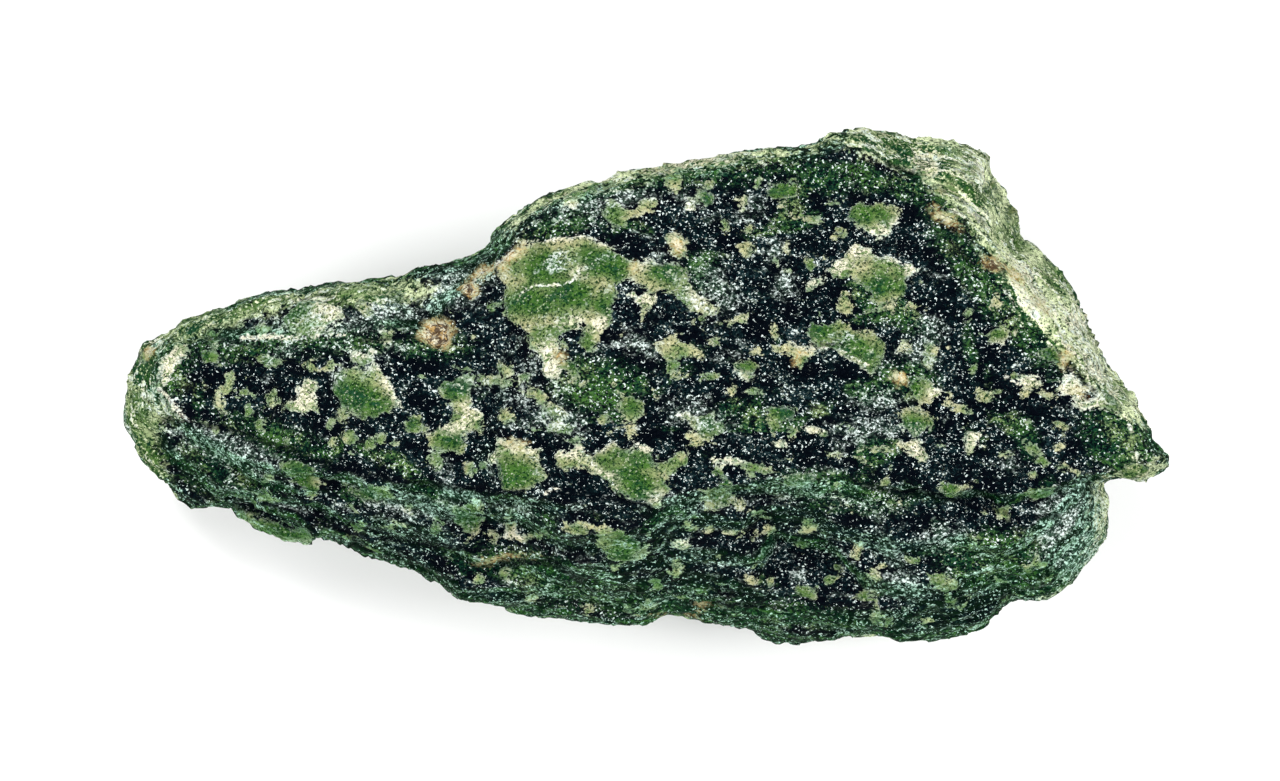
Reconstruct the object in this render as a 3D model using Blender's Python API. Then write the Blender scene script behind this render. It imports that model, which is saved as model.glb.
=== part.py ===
"""A raw jade boulder: one broken block of foliated green jade, lying on its flattest side.

The block is a loft. Four closed lines run round it: the foot it lies on, the girdle, which is its
widest line, the rim, where the flanks meet the crown, and the crown itself is a net over the top.
Between the lines the flanks climb in ledges, because the stone breaks along thin layers.
+Z is up, +X runs from the thin tail to the spur, and -Y is the front, with the broad flank.
"""

import math

import bmesh
import bpy
from mathutils import Vector, noise
from mathutils.geometry import delaunay_2d_cdt

# Driving dimensions, in metres.
LENGTH = 0.120
DEPTH = 0.0595
HEIGHT = 0.038

# Everything below is in millimetres, and the finished mesh is fitted to the driving dimensions.
STATION_GAP = 2.0
NET_GAP = 2.05
RIM_MARGIN = 1.3
RIM_FAN = 1
FOOT_FAN = 7

# The girdle, clockwise seen from above, in stretches. Each stretch gives how far its flank swells
# (over 1 is domed, under 1 is hollow), the same for its underside, how strong its ledges are, and
# the girdle's points as (x, y, height).
GIRDLE = {
    "tail_end": (1.0, 1.6, 0.5, (
        (-58.5, -8.0, 13.5), (-58.8, -5.7, 14.5), (-59.7, -4.8, 14.5), (-60.0, -2.5, 14.5), (-60.1, -0.1, 14.5),
        (-59.5, 1.7, 15.5), (-58.6, 3.3, 15.5), (-58.5, 4.7, 16.5),
    )),
    "tail_back": (1.1, 1.9, 0.6, (
        (-56.2, 5.8, 15), (-53.9, 6.9, 16), (-52.3, 7.2, 17), (-46.7, 9.2, 19), (-44.6, 10.1, 20),
        (-42.2, 10.6, 20), (-39.3, 10.3, 21), (-37.0, 11.2, 21), (-33.4, 11.4, 22), (-30.5, 11.8, 22),
        (-28.3, 12.2, 22), (-26.0, 13.2, 23), (-22.2, 14.3, 23), (-17.8, 15.9, 23),
    )),
    "crown_back": (1.3, 2.1, 0.7, (
        (-17.1, 17.3, 24), (-14.9, 19.4, 24), (-12.3, 21.1, 24), (-10.5, 22.1, 24), (-6.4, 23.2, 24),
        (-4.6, 23.6, 24), (-2.5, 24.7, 24), (2.4, 25.7, 24), (6.9, 26.0, 24), (11.3, 26.6, 24),
        (16.9, 27.1, 24), (22.4, 28.5, 23), (23.5, 29.1, 23), (25.2, 29.7, 22.5), (26.6, 29.8, 22),
    )),
    "shoulder": (1.25, 1.8, 0.55, (
        (27.9, 29.1, 21), (30.8, 28.8, 20), (32.1, 29.0, 19), (35.7, 28.4, 18), (38.4, 27.2, 16.5),
        (39.5, 26.4, 16), (39.7, 24.9, 15), (41.6, 22.5, 14), (41.4, 21.3, 14), (43.1, 20.1, 13),
        (43.2, 18.6, 13), (43.9, 16.8, 13), (45.4, 16.0, 13), (48.2, 12.9, 13.5), (49.2, 11.3, 14),
        (50.5, 8.0, 14.5), (51.3, 5.6, 15), (52.8, 2.4, 17), (54.0, 0.8, 18), (56.1, -2.3, 21),
    )),
    "spur": (1.2, 0.8, 0.3, (
        (55.8, -3.2, 22), (56.6, -4.3, 23), (57.8, -5.6, 24), (58.2, -6.8, 25), (59.3, -7.6, 26),
        (60.0, -8.6, 26), (59.9, -9.5, 26), (58.7, -10.5, 26), (57.8, -11.5, 25), (56.6, -11.0, 25),
        (54.9, -10.7, 23), (53.4, -11.2, 21), (52.5, -12.2, 18),
    )),
    "lobe": (2.2, 1.8, 0.6, (
        (53.1, -13.0, 19), (53.4, -15.3, 17), (53.3, -17.9, 16), (52.0, -19.7, 15.5), (50.8, -21.4, 15),
        (49.6, -23.3, 15), (47.7, -24.5, 15), (46.5, -25.1, 15), (42.8, -24.8, 15), (41.3, -26.0, 15),
        (39.5, -28.0, 14), (38.0, -28.7, 14), (35.7, -29.4, 13), (29.8, -29.7, 13), (26.9, -29.0, 13),
        (23.9, -29.1, 13), (21.6, -29.8, 13),
    )),
    "front": (1.2, 1.7, 0.95, (
        (16.1, -29.2, 13.5), (14.5, -28.5, 14.5), (12.5, -27.9, 14.5), (7.2, -27.6, 15.5), (3.0, -26.8, 15.5),
        (1.8, -27.1, 15.5), (0.7, -27.7, 15.5), (-4.0, -27.9, 14.5), (-6.1, -27.7, 14.5), (-10.5, -26.9, 14.5),
        (-18.5, -25.4, 14.5), (-21.2, -25.0, 14.5), (-22.9, -23.4, 14.5), (-24.4, -22.7, 14),
        (-27.5, -21.2, 13.5), (-33.4, -19.4, 12.5), (-36.6, -17.9, 12.5),
    )),
    "flakes": (0.85, 1.6, 1.0, (
        (-37.8, -18.0, 12), (-38.7, -18.8, 11), (-40.8, -18.3, 11), (-43.7, -17.3, 11), (-46.7, -15.4, 11),
        (-47.4, -14.1, 12), (-51.7, -13.8, 12), (-53.5, -12.9, 12), (-55.6, -10.7, 13), (-57.6, -9.2, 14),
    )),
}

# The rim of the crown and the edge of the foot, clockwise as (x, y).
RIM = (
    (-55.0, -1.2), (-56.0, 1.3), (-55.6, 3.9), (-53.9, 4.7), (-51.3, 4.9), (-47.8, 4.6), (-44.4, 5.2),
    (-40.2, 4.8), (-36.3, 5.6), (-32.1, 5.2), (-28.2, 5.9), (-23.6, 5.4), (-21.9, 8.2), (-20.3, 9.7),
    (-17.4, 12.1), (-15.3, 15.7), (-13.2, 18.7), (-9.7, 20.8), (-5.1, 21.8), (-0.5, 23.6), (6.5, 24.2),
    (13.4, 25.3), (19.8, 26.0), (23.4, 27.1), (26.1, 24.9), (27.7, 24.1), (28.9, 21.7), (31.4, 20.7),
    (33.2, 18.1), (36.5, 16.5), (38.6, 14.2), (41.7, 12.7), (43.1, 10.3), (45.8, 8.1), (47.2, 5.3),
    (49.6, 3.0), (50.6, 0.2), (52.5, -2.0), (56.0, -4.7), (57.8, -7.2), (59.0, -8.6), (56.2, -10.0),
    (52.7, -10.7), (49.5, -10.4), (46.9, -11.9), (43.6, -12.2), (41.2, -13.3), (37.0, -12.1),
    (33.1, -12.8), (29.4, -11.3), (25.0, -11.6), (21.7, -10.4), (18.0, -10.9), (14.6, -10.5),
    (11.1, -11.8), (6.2, -12.4), (0.7, -13.8), (-3.9, -13.0), (-9.7, -13.5), (-14.4, -12.2),
    (-19.0, -12.8), (-24.1, -11.3), (-28.2, -11.6), (-32.5, -9.9), (-36.3, -9.7), (-40.1, -7.8),
    (-43.2, -7.4), (-47.0, -5.6), (-50.2, -4.9),
)
FOOT = (
    (-38.2, -4.4), (-36.0, -1.2), (-29.6, 0.4), (-24.8, 3.6), (-17.9, 3.1), (-12.4, 6.8), (-6.6, 8.2),
    (-1.3, 11.7), (6.4, 10.6), (11.7, 13.4), (19.5, 12.1), (26.8, 12.9), (31.2, 8.4), (34.9, 5.9),
    (35.6, -0.4), (39.3, -4.8), (38.1, -10.4), (39.6, -14.7), (33.7, -17.9), (27.0, -17.2),
    (21.8, -20.1), (12.9, -18.3), (5.2, -19.4), (-2.8, -16.7), (-10.9, -17.6), (-17.1, -13.9),
    (-23.4, -13.6), (-28.1, -10.2), (-34.8, -8.9),
)

# Every station on the girdle looks towards a point of the spine, from its thin end to its thick one.
SPINE_FROM = (-33.0, -4.5)
SPINE_TO = (32.0, -5.5)

# The crown is two broken faces that meet in a blunt edge: the tail's, which climbs to the right,
# and the body's, which falls slowly to the right and faster to the back.
TAIL_AT, TAIL_HEIGHT, TAIL_CLIMB, TAIL_FALL_BACK = -55.5, 19.0, 0.31, 0.06
BODY_AT, BODY_HEIGHT, BODY_FALL_RIGHT, BODY_FALL_BACK = 0.7, 34.0, 0.09, 0.15
CROWN_BLEND = 4.0

# Swells and hollows of the crown: (x, y, reach along x, reach along y, height).
CROWN_RELIEF = {
    "green_swell": (-8.5, 8.5, 8.0, 7.0, 1.3),
    "tail_hollow": (-20.0, -3.0, 7.0, 8.0, -1.3),
    "front_swell": (0.0, -10.0, 8.5, 4.0, 1.1),
    "tail_swell": (-31.0, -0.5, 6.0, 5.0, 0.7),
    "tail_tip_hollow": (-45.0, -1.0, 6.0, 4.0, -0.6),
    "back_hollow": (10.0, 16.0, 7.0, 5.0, -1.0),
    "middle_swell": (25.0, 12.0, 6.0, 4.0, 1.1),
    "middle_hollow": (17.0, 3.0, 6.5, 4.0, -0.9),
    "right_hollow": (35.0, 0.0, 8.0, 6.0, -0.9),
    "rusty_pit": (-23.8, 5.6, 1.9, 1.7, -1.6),
    "rusty_notch": (-19.0, 10.6, 2.6, 1.8, -1.2),
    "ochre_pit": (51.0, -1.6, 2.6, 1.6, -1.0),
}

# Ledges, from the girdle to the rim and from the girdle to the foot.
FLANK_LEDGES = 5
UNDERSIDE_LEDGES = 4
LEDGE_SLOPE = 0.18
LEDGE_LEAST = 0.12
TREADS = {"wander": 15.0, "spread": 2.3, "seed": 0.0}
RISERS = {"wander": 30.0, "spread": 2.0, "seed": 400.0}
FADES = {"wander": 19.0, "spread": 0.9, "seed": 77.0}
SETTINGS_REACH = 3

# Lumps of the broken surface: (wavelength, height, seed), and how much of the small and of the
# large ones each zone gets. They fade to nothing over FOOT_CALM above the foot.
LUMPS = ((12.0, 1.0, 3.1), (4.8, 0.42, 17.7))
SIDE_LUMP = (22.0, 3.4, 41.3)
UNDERSIDE_SHARES = (1.0, 1.0)
GIRDLE_SHARES = (0.45, 0.0)
FLANK_SHARES = (1.0, 0.3)
CROWN_SHARES = (1.0, 0.0)
FOOT_CALM = 3.0

JADE_COLOUR = (0.05, 0.12, 0.06, 1.0)
JADE_ROUGHNESS = 0.55


def along(a, b, share):
    return tuple(p + (q - p) * share for p, q in zip(a, b))


def gap(a, b):
    return math.hypot(b[0] - a[0], b[1] - a[1])


def girdle_stations():
    """Points round the girdle about STATION_GAP apart, as ((x, y, z), (flank, underside, ledges))."""
    corners = [
        (point, settings) for *settings, points in GIRDLE.values() for point in points
    ]
    stations = []
    for (start, settings), (end, _) in zip(corners, corners[1:] + corners[:1]):
        steps = max(1, round(gap(start, end) / STATION_GAP))
        stations += [(along(start, end, i / steps), settings) for i in range(steps)]
    return stations


def smoothed(rows):
    """Each row of settings averaged with its neighbours round the closed line."""
    near = range(-SETTINGS_REACH, SETTINGS_REACH + 1)
    return [
        [sum(rows[(i + d) % len(rows)][c] for d in near) / len(near) for c in range(3)]
        for i in range(len(rows))
    ]


def spine_point(x):
    outer = [point[0] for *_, points in GIRDLE.values() for point in points]
    share = (x - min(outer)) / (max(outer) - min(outer))
    return along(SPINE_FROM, SPINE_TO, share)


def crossing(outer, inner, line):
    """How far along the closed line, as a length, the straight way from outer to inner crosses it."""
    walked, found = 0.0, None
    dx, dy = inner[0] - outer[0], inner[1] - outer[1]
    for a, b in zip(line, line[1:] + line[:1]):
        ex, ey = b[0] - a[0], b[1] - a[1]
        area = dx * ey - dy * ex
        if abs(area) > 1e-9:
            t = ((a[0] - outer[0]) * ey - (a[1] - outer[1]) * ex) / area
            s = ((a[0] - outer[0]) * dy - (a[1] - outer[1]) * dx) / area
            if 0 <= s < 1 and t > -0.2 and (found is None or t < found[0]):
                found = (t, walked + s * gap(a, b))
        walked += gap(a, b)
    return found[1]


def point_at(line, length):
    whole = sum(gap(a, b) for a, b in zip(line, line[1:] + line[:1]))
    length %= whole
    for a, b in zip(line, line[1:] + line[:1]):
        step = gap(a, b)
        if length <= step:
            return along(a, b, length / step)
        length -= step
    return line[0]


def inner_line(stations, line, fan):
    """The point of a closed inner line for each station, in the same order as the stations.

    A station looks at its own point, and fan evens out the gaps over that many neighbours.
    """
    line = list(line)
    whole = sum(gap(a, b) for a, b in zip(line, line[1:] + line[:1]))
    lengths = [crossing(p, spine_point(p[0]), line) for p, _ in stations]
    ordered = [lengths[0]]
    for length in lengths[1:]:
        turns = round((ordered[-1] - length) / whole)
        ordered.append(length + turns * whole)
    least = whole / len(ordered) * 0.12
    for i in range(1, len(ordered)):
        ordered[i] = max(ordered[i], ordered[i - 1] + least)
    excess = max(0.0, ordered[-1] + least - ordered[0] - whole)
    ordered = [length - excess * i / (len(ordered) - 1) for i, length in enumerate(ordered)]
    looped = [length - whole for length in ordered] + ordered + [length + whole for length in ordered]
    fanned = []
    for i in range(len(ordered), 2 * len(ordered)):
        near = looped[i - fan : i + fan + 1]
        fanned.append(sum(near) / len(near))
    return [point_at(line, length) for length in fanned]


def crown_height(x, y):
    tail = TAIL_HEIGHT + TAIL_CLIMB * (x - TAIL_AT) - TAIL_FALL_BACK * y
    body = BODY_HEIGHT - BODY_FALL_RIGHT * (x - BODY_AT) - BODY_FALL_BACK * (y + 11.0)
    lower = -CROWN_BLEND * math.log(
        math.exp(-tail / CROWN_BLEND) + math.exp(-body / CROWN_BLEND)
    )
    relief = sum(
        height * math.exp(-(((x - cx) / rx) ** 2) - ((y - cy) / ry) ** 2)
        for cx, cy, rx, ry, height in CROWN_RELIEF.values()
    )
    return lower + relief


def shares(station, count, seed, wander, spread):
    """How a section is divided between its ledges: each wanders and some pinch out."""
    x, y, _ = station
    widths = [
        max(LEDGE_LEAST, 1 + spread * noise.noise(Vector((x, y, seed + 31.0 * j)) / wander))
        for j in range(count)
    ]
    return [w / sum(widths) for w in widths]


def ledge_strength(station, strength):
    """The strength of a section's ledges: they fade out and come back along the stone."""
    x, y, _ = station
    fade = 0.75 + FADES["spread"] * noise.noise(Vector((x, y, FADES["seed"])) / FADES["wander"])
    return strength * min(1.0, max(0.15, fade))


def climb(station, ledges, swell, strength, seed):
    """The steps of a section as (share of the way in, share of the way up), without its two ends."""
    treads = shares(station, ledges, seed + TREADS["seed"], TREADS["wander"], TREADS["spread"])
    risers = shares(station, ledges + 1, seed + RISERS["seed"], RISERS["wander"], RISERS["spread"])
    strength = ledge_strength(station, strength)
    way_in, way_up, steps = 0.0, 0.0, []
    for tread, riser in zip(treads, risers):
        steps.append((way_in + tread * LEDGE_SLOPE, way_up + riser))
        way_in += tread
        way_up += riser
        steps.append((way_in, way_up + riser * LEDGE_SLOPE))
    mixed = []
    for i, (inwards, up) in enumerate(steps):
        even = (i + 1) / (len(steps) + 1)
        inwards = even + (inwards - even) * strength
        up = even + (up - even) * strength
        mixed.append((inwards**swell, up))
    return mixed


def sections(stations):
    """The lines of the loft from the foot to the rim, each a list with a point for every station."""
    rim = inner_line(stations, RIM, RIM_FAN)
    foot = inner_line(stations, FOOT, FOOT_FAN)
    settings = smoothed([row for _, row in stations])
    columns = []
    for (girdle, _), top, bottom, (flank, underside, ledges) in zip(
        stations, rim, foot, settings
    ):
        reach = gap(girdle, top)
        if reach < RIM_MARGIN:
            centre = spine_point(girdle[0])
            top = along(girdle[:2], centre, RIM_MARGIN / gap(girdle, centre))
        high = (*top, max(crown_height(*top), girdle[2] + 0.8))
        low = (*bottom, 0.0)
        column = [low]
        for share_in, share_down in reversed(
            climb(girdle, UNDERSIDE_LEDGES, underside, ledges, 900.0)
        ):
            column.append(
                (*along(girdle, low, share_in)[:2], girdle[2] * (1 - share_down))
            )
        column.append(girdle)
        for share_in, share_up in climb(girdle, FLANK_LEDGES, flank, ledges, 0.0):
            column.append(
                (
                    *along(girdle, high, share_in)[:2],
                    girdle[2] + (high[2] - girdle[2]) * share_up,
                )
            )
        column.append(high)
        columns.append(column)
    return [list(line) for line in zip(*columns)]


def inside(point, line):
    hits = False
    x, y = point
    for a, b in zip(line, line[1:] + line[:1]):
        if (a[1] > y) != (b[1] > y):
            if x < a[0] + (y - a[1]) * (b[0] - a[0]) / (b[1] - a[1]):
                hits = not hits
    return hits


def net_points(rim):
    """Points of a triangular net inside the rim, each nudged off its place."""
    points = []
    row_gap = NET_GAP * math.sqrt(0.75)
    rows = int(60 / row_gap)
    for row in range(-rows, rows + 1):
        for column in range(-40, 41):
            x = (column + 0.5 * (row % 2)) * NET_GAP
            y = row * row_gap
            nudge = noise.noise_vector(Vector((x, y, 5.0)) / 1.7) * (0.28 * NET_GAP)
            point = (x + nudge.x, y + nudge.y)
            clear = min(gap(point, other) for other in rim)
            if clear > 0.62 * NET_GAP and inside(point, rim):
                points.append(point)
    return points


def fill_crown(mesh, rim_verts):
    rim = [tuple(v.co.xy) for v in rim_verts]
    inner = net_points(rim)
    flat = [Vector(p) for p in rim + inner]
    loop = list(range(len(rim)))
    found = delaunay_2d_cdt(flat, [], [loop], 1, 1e-6)
    places, triangles, sources = found[0], found[2], found[3]
    verts = []
    for place, source in zip(places, sources):
        if source and source[0] < len(rim):
            verts.append(rim_verts[source[0]])
        else:
            verts.append(mesh.verts.new((*place, crown_height(*place))))
    for triangle in triangles:
        mesh.faces.new([verts[i] for i in triangle])


def lump(place, wave, height, seed, octaves):
    return height * noise.fractal(place / wave + Vector((seed, seed, seed)), 0.8, 2.0, octaves)


def roughen(mesh, lines):
    """Moves every point along its normal by the lumps, less at the girdle and not at all at the foot."""
    weights = {}
    girdle = 2 * UNDERSIDE_LEDGES + 1
    for i, line in enumerate(lines[:-1]):
        weight = UNDERSIDE_SHARES if i < girdle else GIRDLE_SHARES if i == girdle else FLANK_SHARES
        weights.update((vert, weight) for vert in line)
    mesh.normal_update()
    moves = []
    for vert in mesh.verts:
        small, large = weights.get(vert, CROWN_SHARES)
        push = small * sum(lump(vert.co, wave, height, seed, 2) for wave, height, seed in LUMPS)
        push += large * lump(vert.co, *SIDE_LUMP, 1)
        moves.append(vert.normal * push * min(1.0, vert.co.z / FOOT_CALM))
    for vert, move in zip(mesh.verts, moves):
        vert.co += move
        vert.co.z = max(0.0, vert.co.z)


def fit(mesh):
    """Scales the block to the driving dimensions, centred over the origin and standing on Z = 0."""
    low = [min(v.co[i] for v in mesh.verts) for i in range(3)]
    high = [max(v.co[i] for v in mesh.verts) for i in range(3)]
    sizes = (LENGTH, DEPTH, HEIGHT)
    for vert in mesh.verts:
        for i, size in enumerate(sizes):
            share = (vert.co[i] - low[i]) / (high[i] - low[i])
            vert.co[i] = size * (share if i == 2 else share - 0.5)


def block_mesh():
    mesh = bmesh.new()
    stations = girdle_stations()
    lines = [[mesh.verts.new(p) for p in line] for line in sections(stations)]
    for lower, upper in zip(lines, lines[1:]):
        count = len(lower)
        for i in range(count):
            j = (i + 1) % count
            mesh.faces.new((lower[i], upper[i], upper[j], lower[j]))
    mesh.faces.new(lines[0])
    fill_crown(mesh, lines[-1])
    bmesh.ops.recalc_face_normals(mesh, faces=mesh.faces)
    roughen(mesh, lines)
    fit(mesh)
    return mesh


def jade_material():
    material = bpy.data.materials.new("jade")
    material.use_nodes = True
    surface = material.node_tree.nodes["Principled BSDF"]
    surface.inputs["Base Color"].default_value = JADE_COLOUR
    surface.inputs["Roughness"].default_value = JADE_ROUGHNESS
    surface.inputs["Metallic"].default_value = 0.0
    material.diffuse_color = JADE_COLOUR
    return material


def clear_scene():
    for obj in list(bpy.data.objects):
        bpy.data.objects.remove(obj)


def main():
    clear_scene()
    mesh = block_mesh()
    data = bpy.data.meshes.new("jade_boulder")
    mesh.to_mesh(data)
    mesh.free()
    data.materials.append(jade_material())
    boulder = bpy.data.objects.new("jade_boulder", data)
    bpy.context.scene.collection.objects.link(boulder)


main()
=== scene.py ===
"""Raw jade boulder: the looks of one broken block of mottled, foliated green jade."""

import itertools
import math
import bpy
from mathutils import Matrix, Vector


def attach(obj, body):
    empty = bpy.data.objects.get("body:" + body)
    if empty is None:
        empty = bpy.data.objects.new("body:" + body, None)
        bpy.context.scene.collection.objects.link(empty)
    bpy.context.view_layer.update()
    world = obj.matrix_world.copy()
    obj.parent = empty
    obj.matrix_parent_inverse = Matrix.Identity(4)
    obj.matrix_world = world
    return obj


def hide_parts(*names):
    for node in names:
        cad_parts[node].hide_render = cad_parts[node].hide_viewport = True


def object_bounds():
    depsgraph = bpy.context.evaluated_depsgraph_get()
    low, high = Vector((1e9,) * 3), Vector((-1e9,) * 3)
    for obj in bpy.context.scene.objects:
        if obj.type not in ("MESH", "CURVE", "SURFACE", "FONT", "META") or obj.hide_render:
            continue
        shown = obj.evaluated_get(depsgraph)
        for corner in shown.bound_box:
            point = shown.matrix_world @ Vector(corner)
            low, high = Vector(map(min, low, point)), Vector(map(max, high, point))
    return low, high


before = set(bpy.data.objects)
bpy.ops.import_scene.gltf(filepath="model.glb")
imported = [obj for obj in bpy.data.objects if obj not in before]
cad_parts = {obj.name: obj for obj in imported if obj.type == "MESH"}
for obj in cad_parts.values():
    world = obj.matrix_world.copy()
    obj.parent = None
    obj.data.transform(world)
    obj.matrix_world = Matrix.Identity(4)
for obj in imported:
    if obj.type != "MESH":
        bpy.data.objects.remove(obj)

from types import SimpleNamespace

import bpy
import numpy as np
from bpy.props import FloatProperty, FloatVectorProperty, IntProperty, PointerProperty
from mathutils import Vector

bl_info = {
    "name": "Raw Jade Boulder",
    "version": (1, 0, 0),
    "blender": (4, 5, 0),
    "location": "View3D > Sidebar > Raw Jade",
    "description": "Roughens and colours a raw jade boulder and sets it on a plain stage",
    "category": "Object",
}

CAD_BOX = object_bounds()
NODE = "jade_boulder"
STONE = "jade_stone"
MM = 0.001
SPINE = ((-33, -4.5), (32, -5.5))  # the middle line of the stone, seen from above
EYE = (-0.46, -0.35, 1517.0)  # where the markings are seen from, in millimetres
GIRDLE_HEIGHT = 17.0  # millimetres
DRAWN_SCALE = 1.005  # from the girdle to the drawing of the markings
DRAWN_SHIFT = (-0.46, -0.81)
LOOP_REACH = 12  # how far from the spine the loop of the flow runs, in millimetres
SECTORS = 120  # equal parts of a turn, each with its own reach of the girdle
SECTOR = 360 / SECTORS
INSET_RISE = 0.8  # how much of a point's distance inside the girdle counts as height
GRAIN_TURN = math.radians(32)
GRAIN_STRETCH = (0.8, 1.25, 1.7)
PIXEL = 0.11561  # millimetres of stone across one pixel
VIEW_MIDDLE = (644, 383.5)  # the pixel over the middle of the stone


def tenths(pixels):
    return round(pixels * PIXEL, 1)


def on_stone(column, row):
    return tenths(column - VIEW_MIDDLE[0]), tenths(VIEW_MIDDLE[1] - row)


def seen_outlines(outlines):
    """Closed outlines in millimetres, from the columns and rows of their corners."""
    return {name: [on_stone(*spot) for spot in spots] for name, spots in outlines.items()}


def seen_ovals(*ovals):
    """Ovals in millimetres, from ovals in pixels."""
    return [(*on_stone(x, y), tenths(long), tenths(wide), turn) for x, y, long, wide, turn in ovals]


def seen_lines(*lines):
    """Lines in millimetres, from ends in pixels and half a width in millimetres."""
    return [(*on_stone(x1, y1), *on_stone(x2, y2), half) for x1, y1, x2, y2, half in lines]


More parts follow.
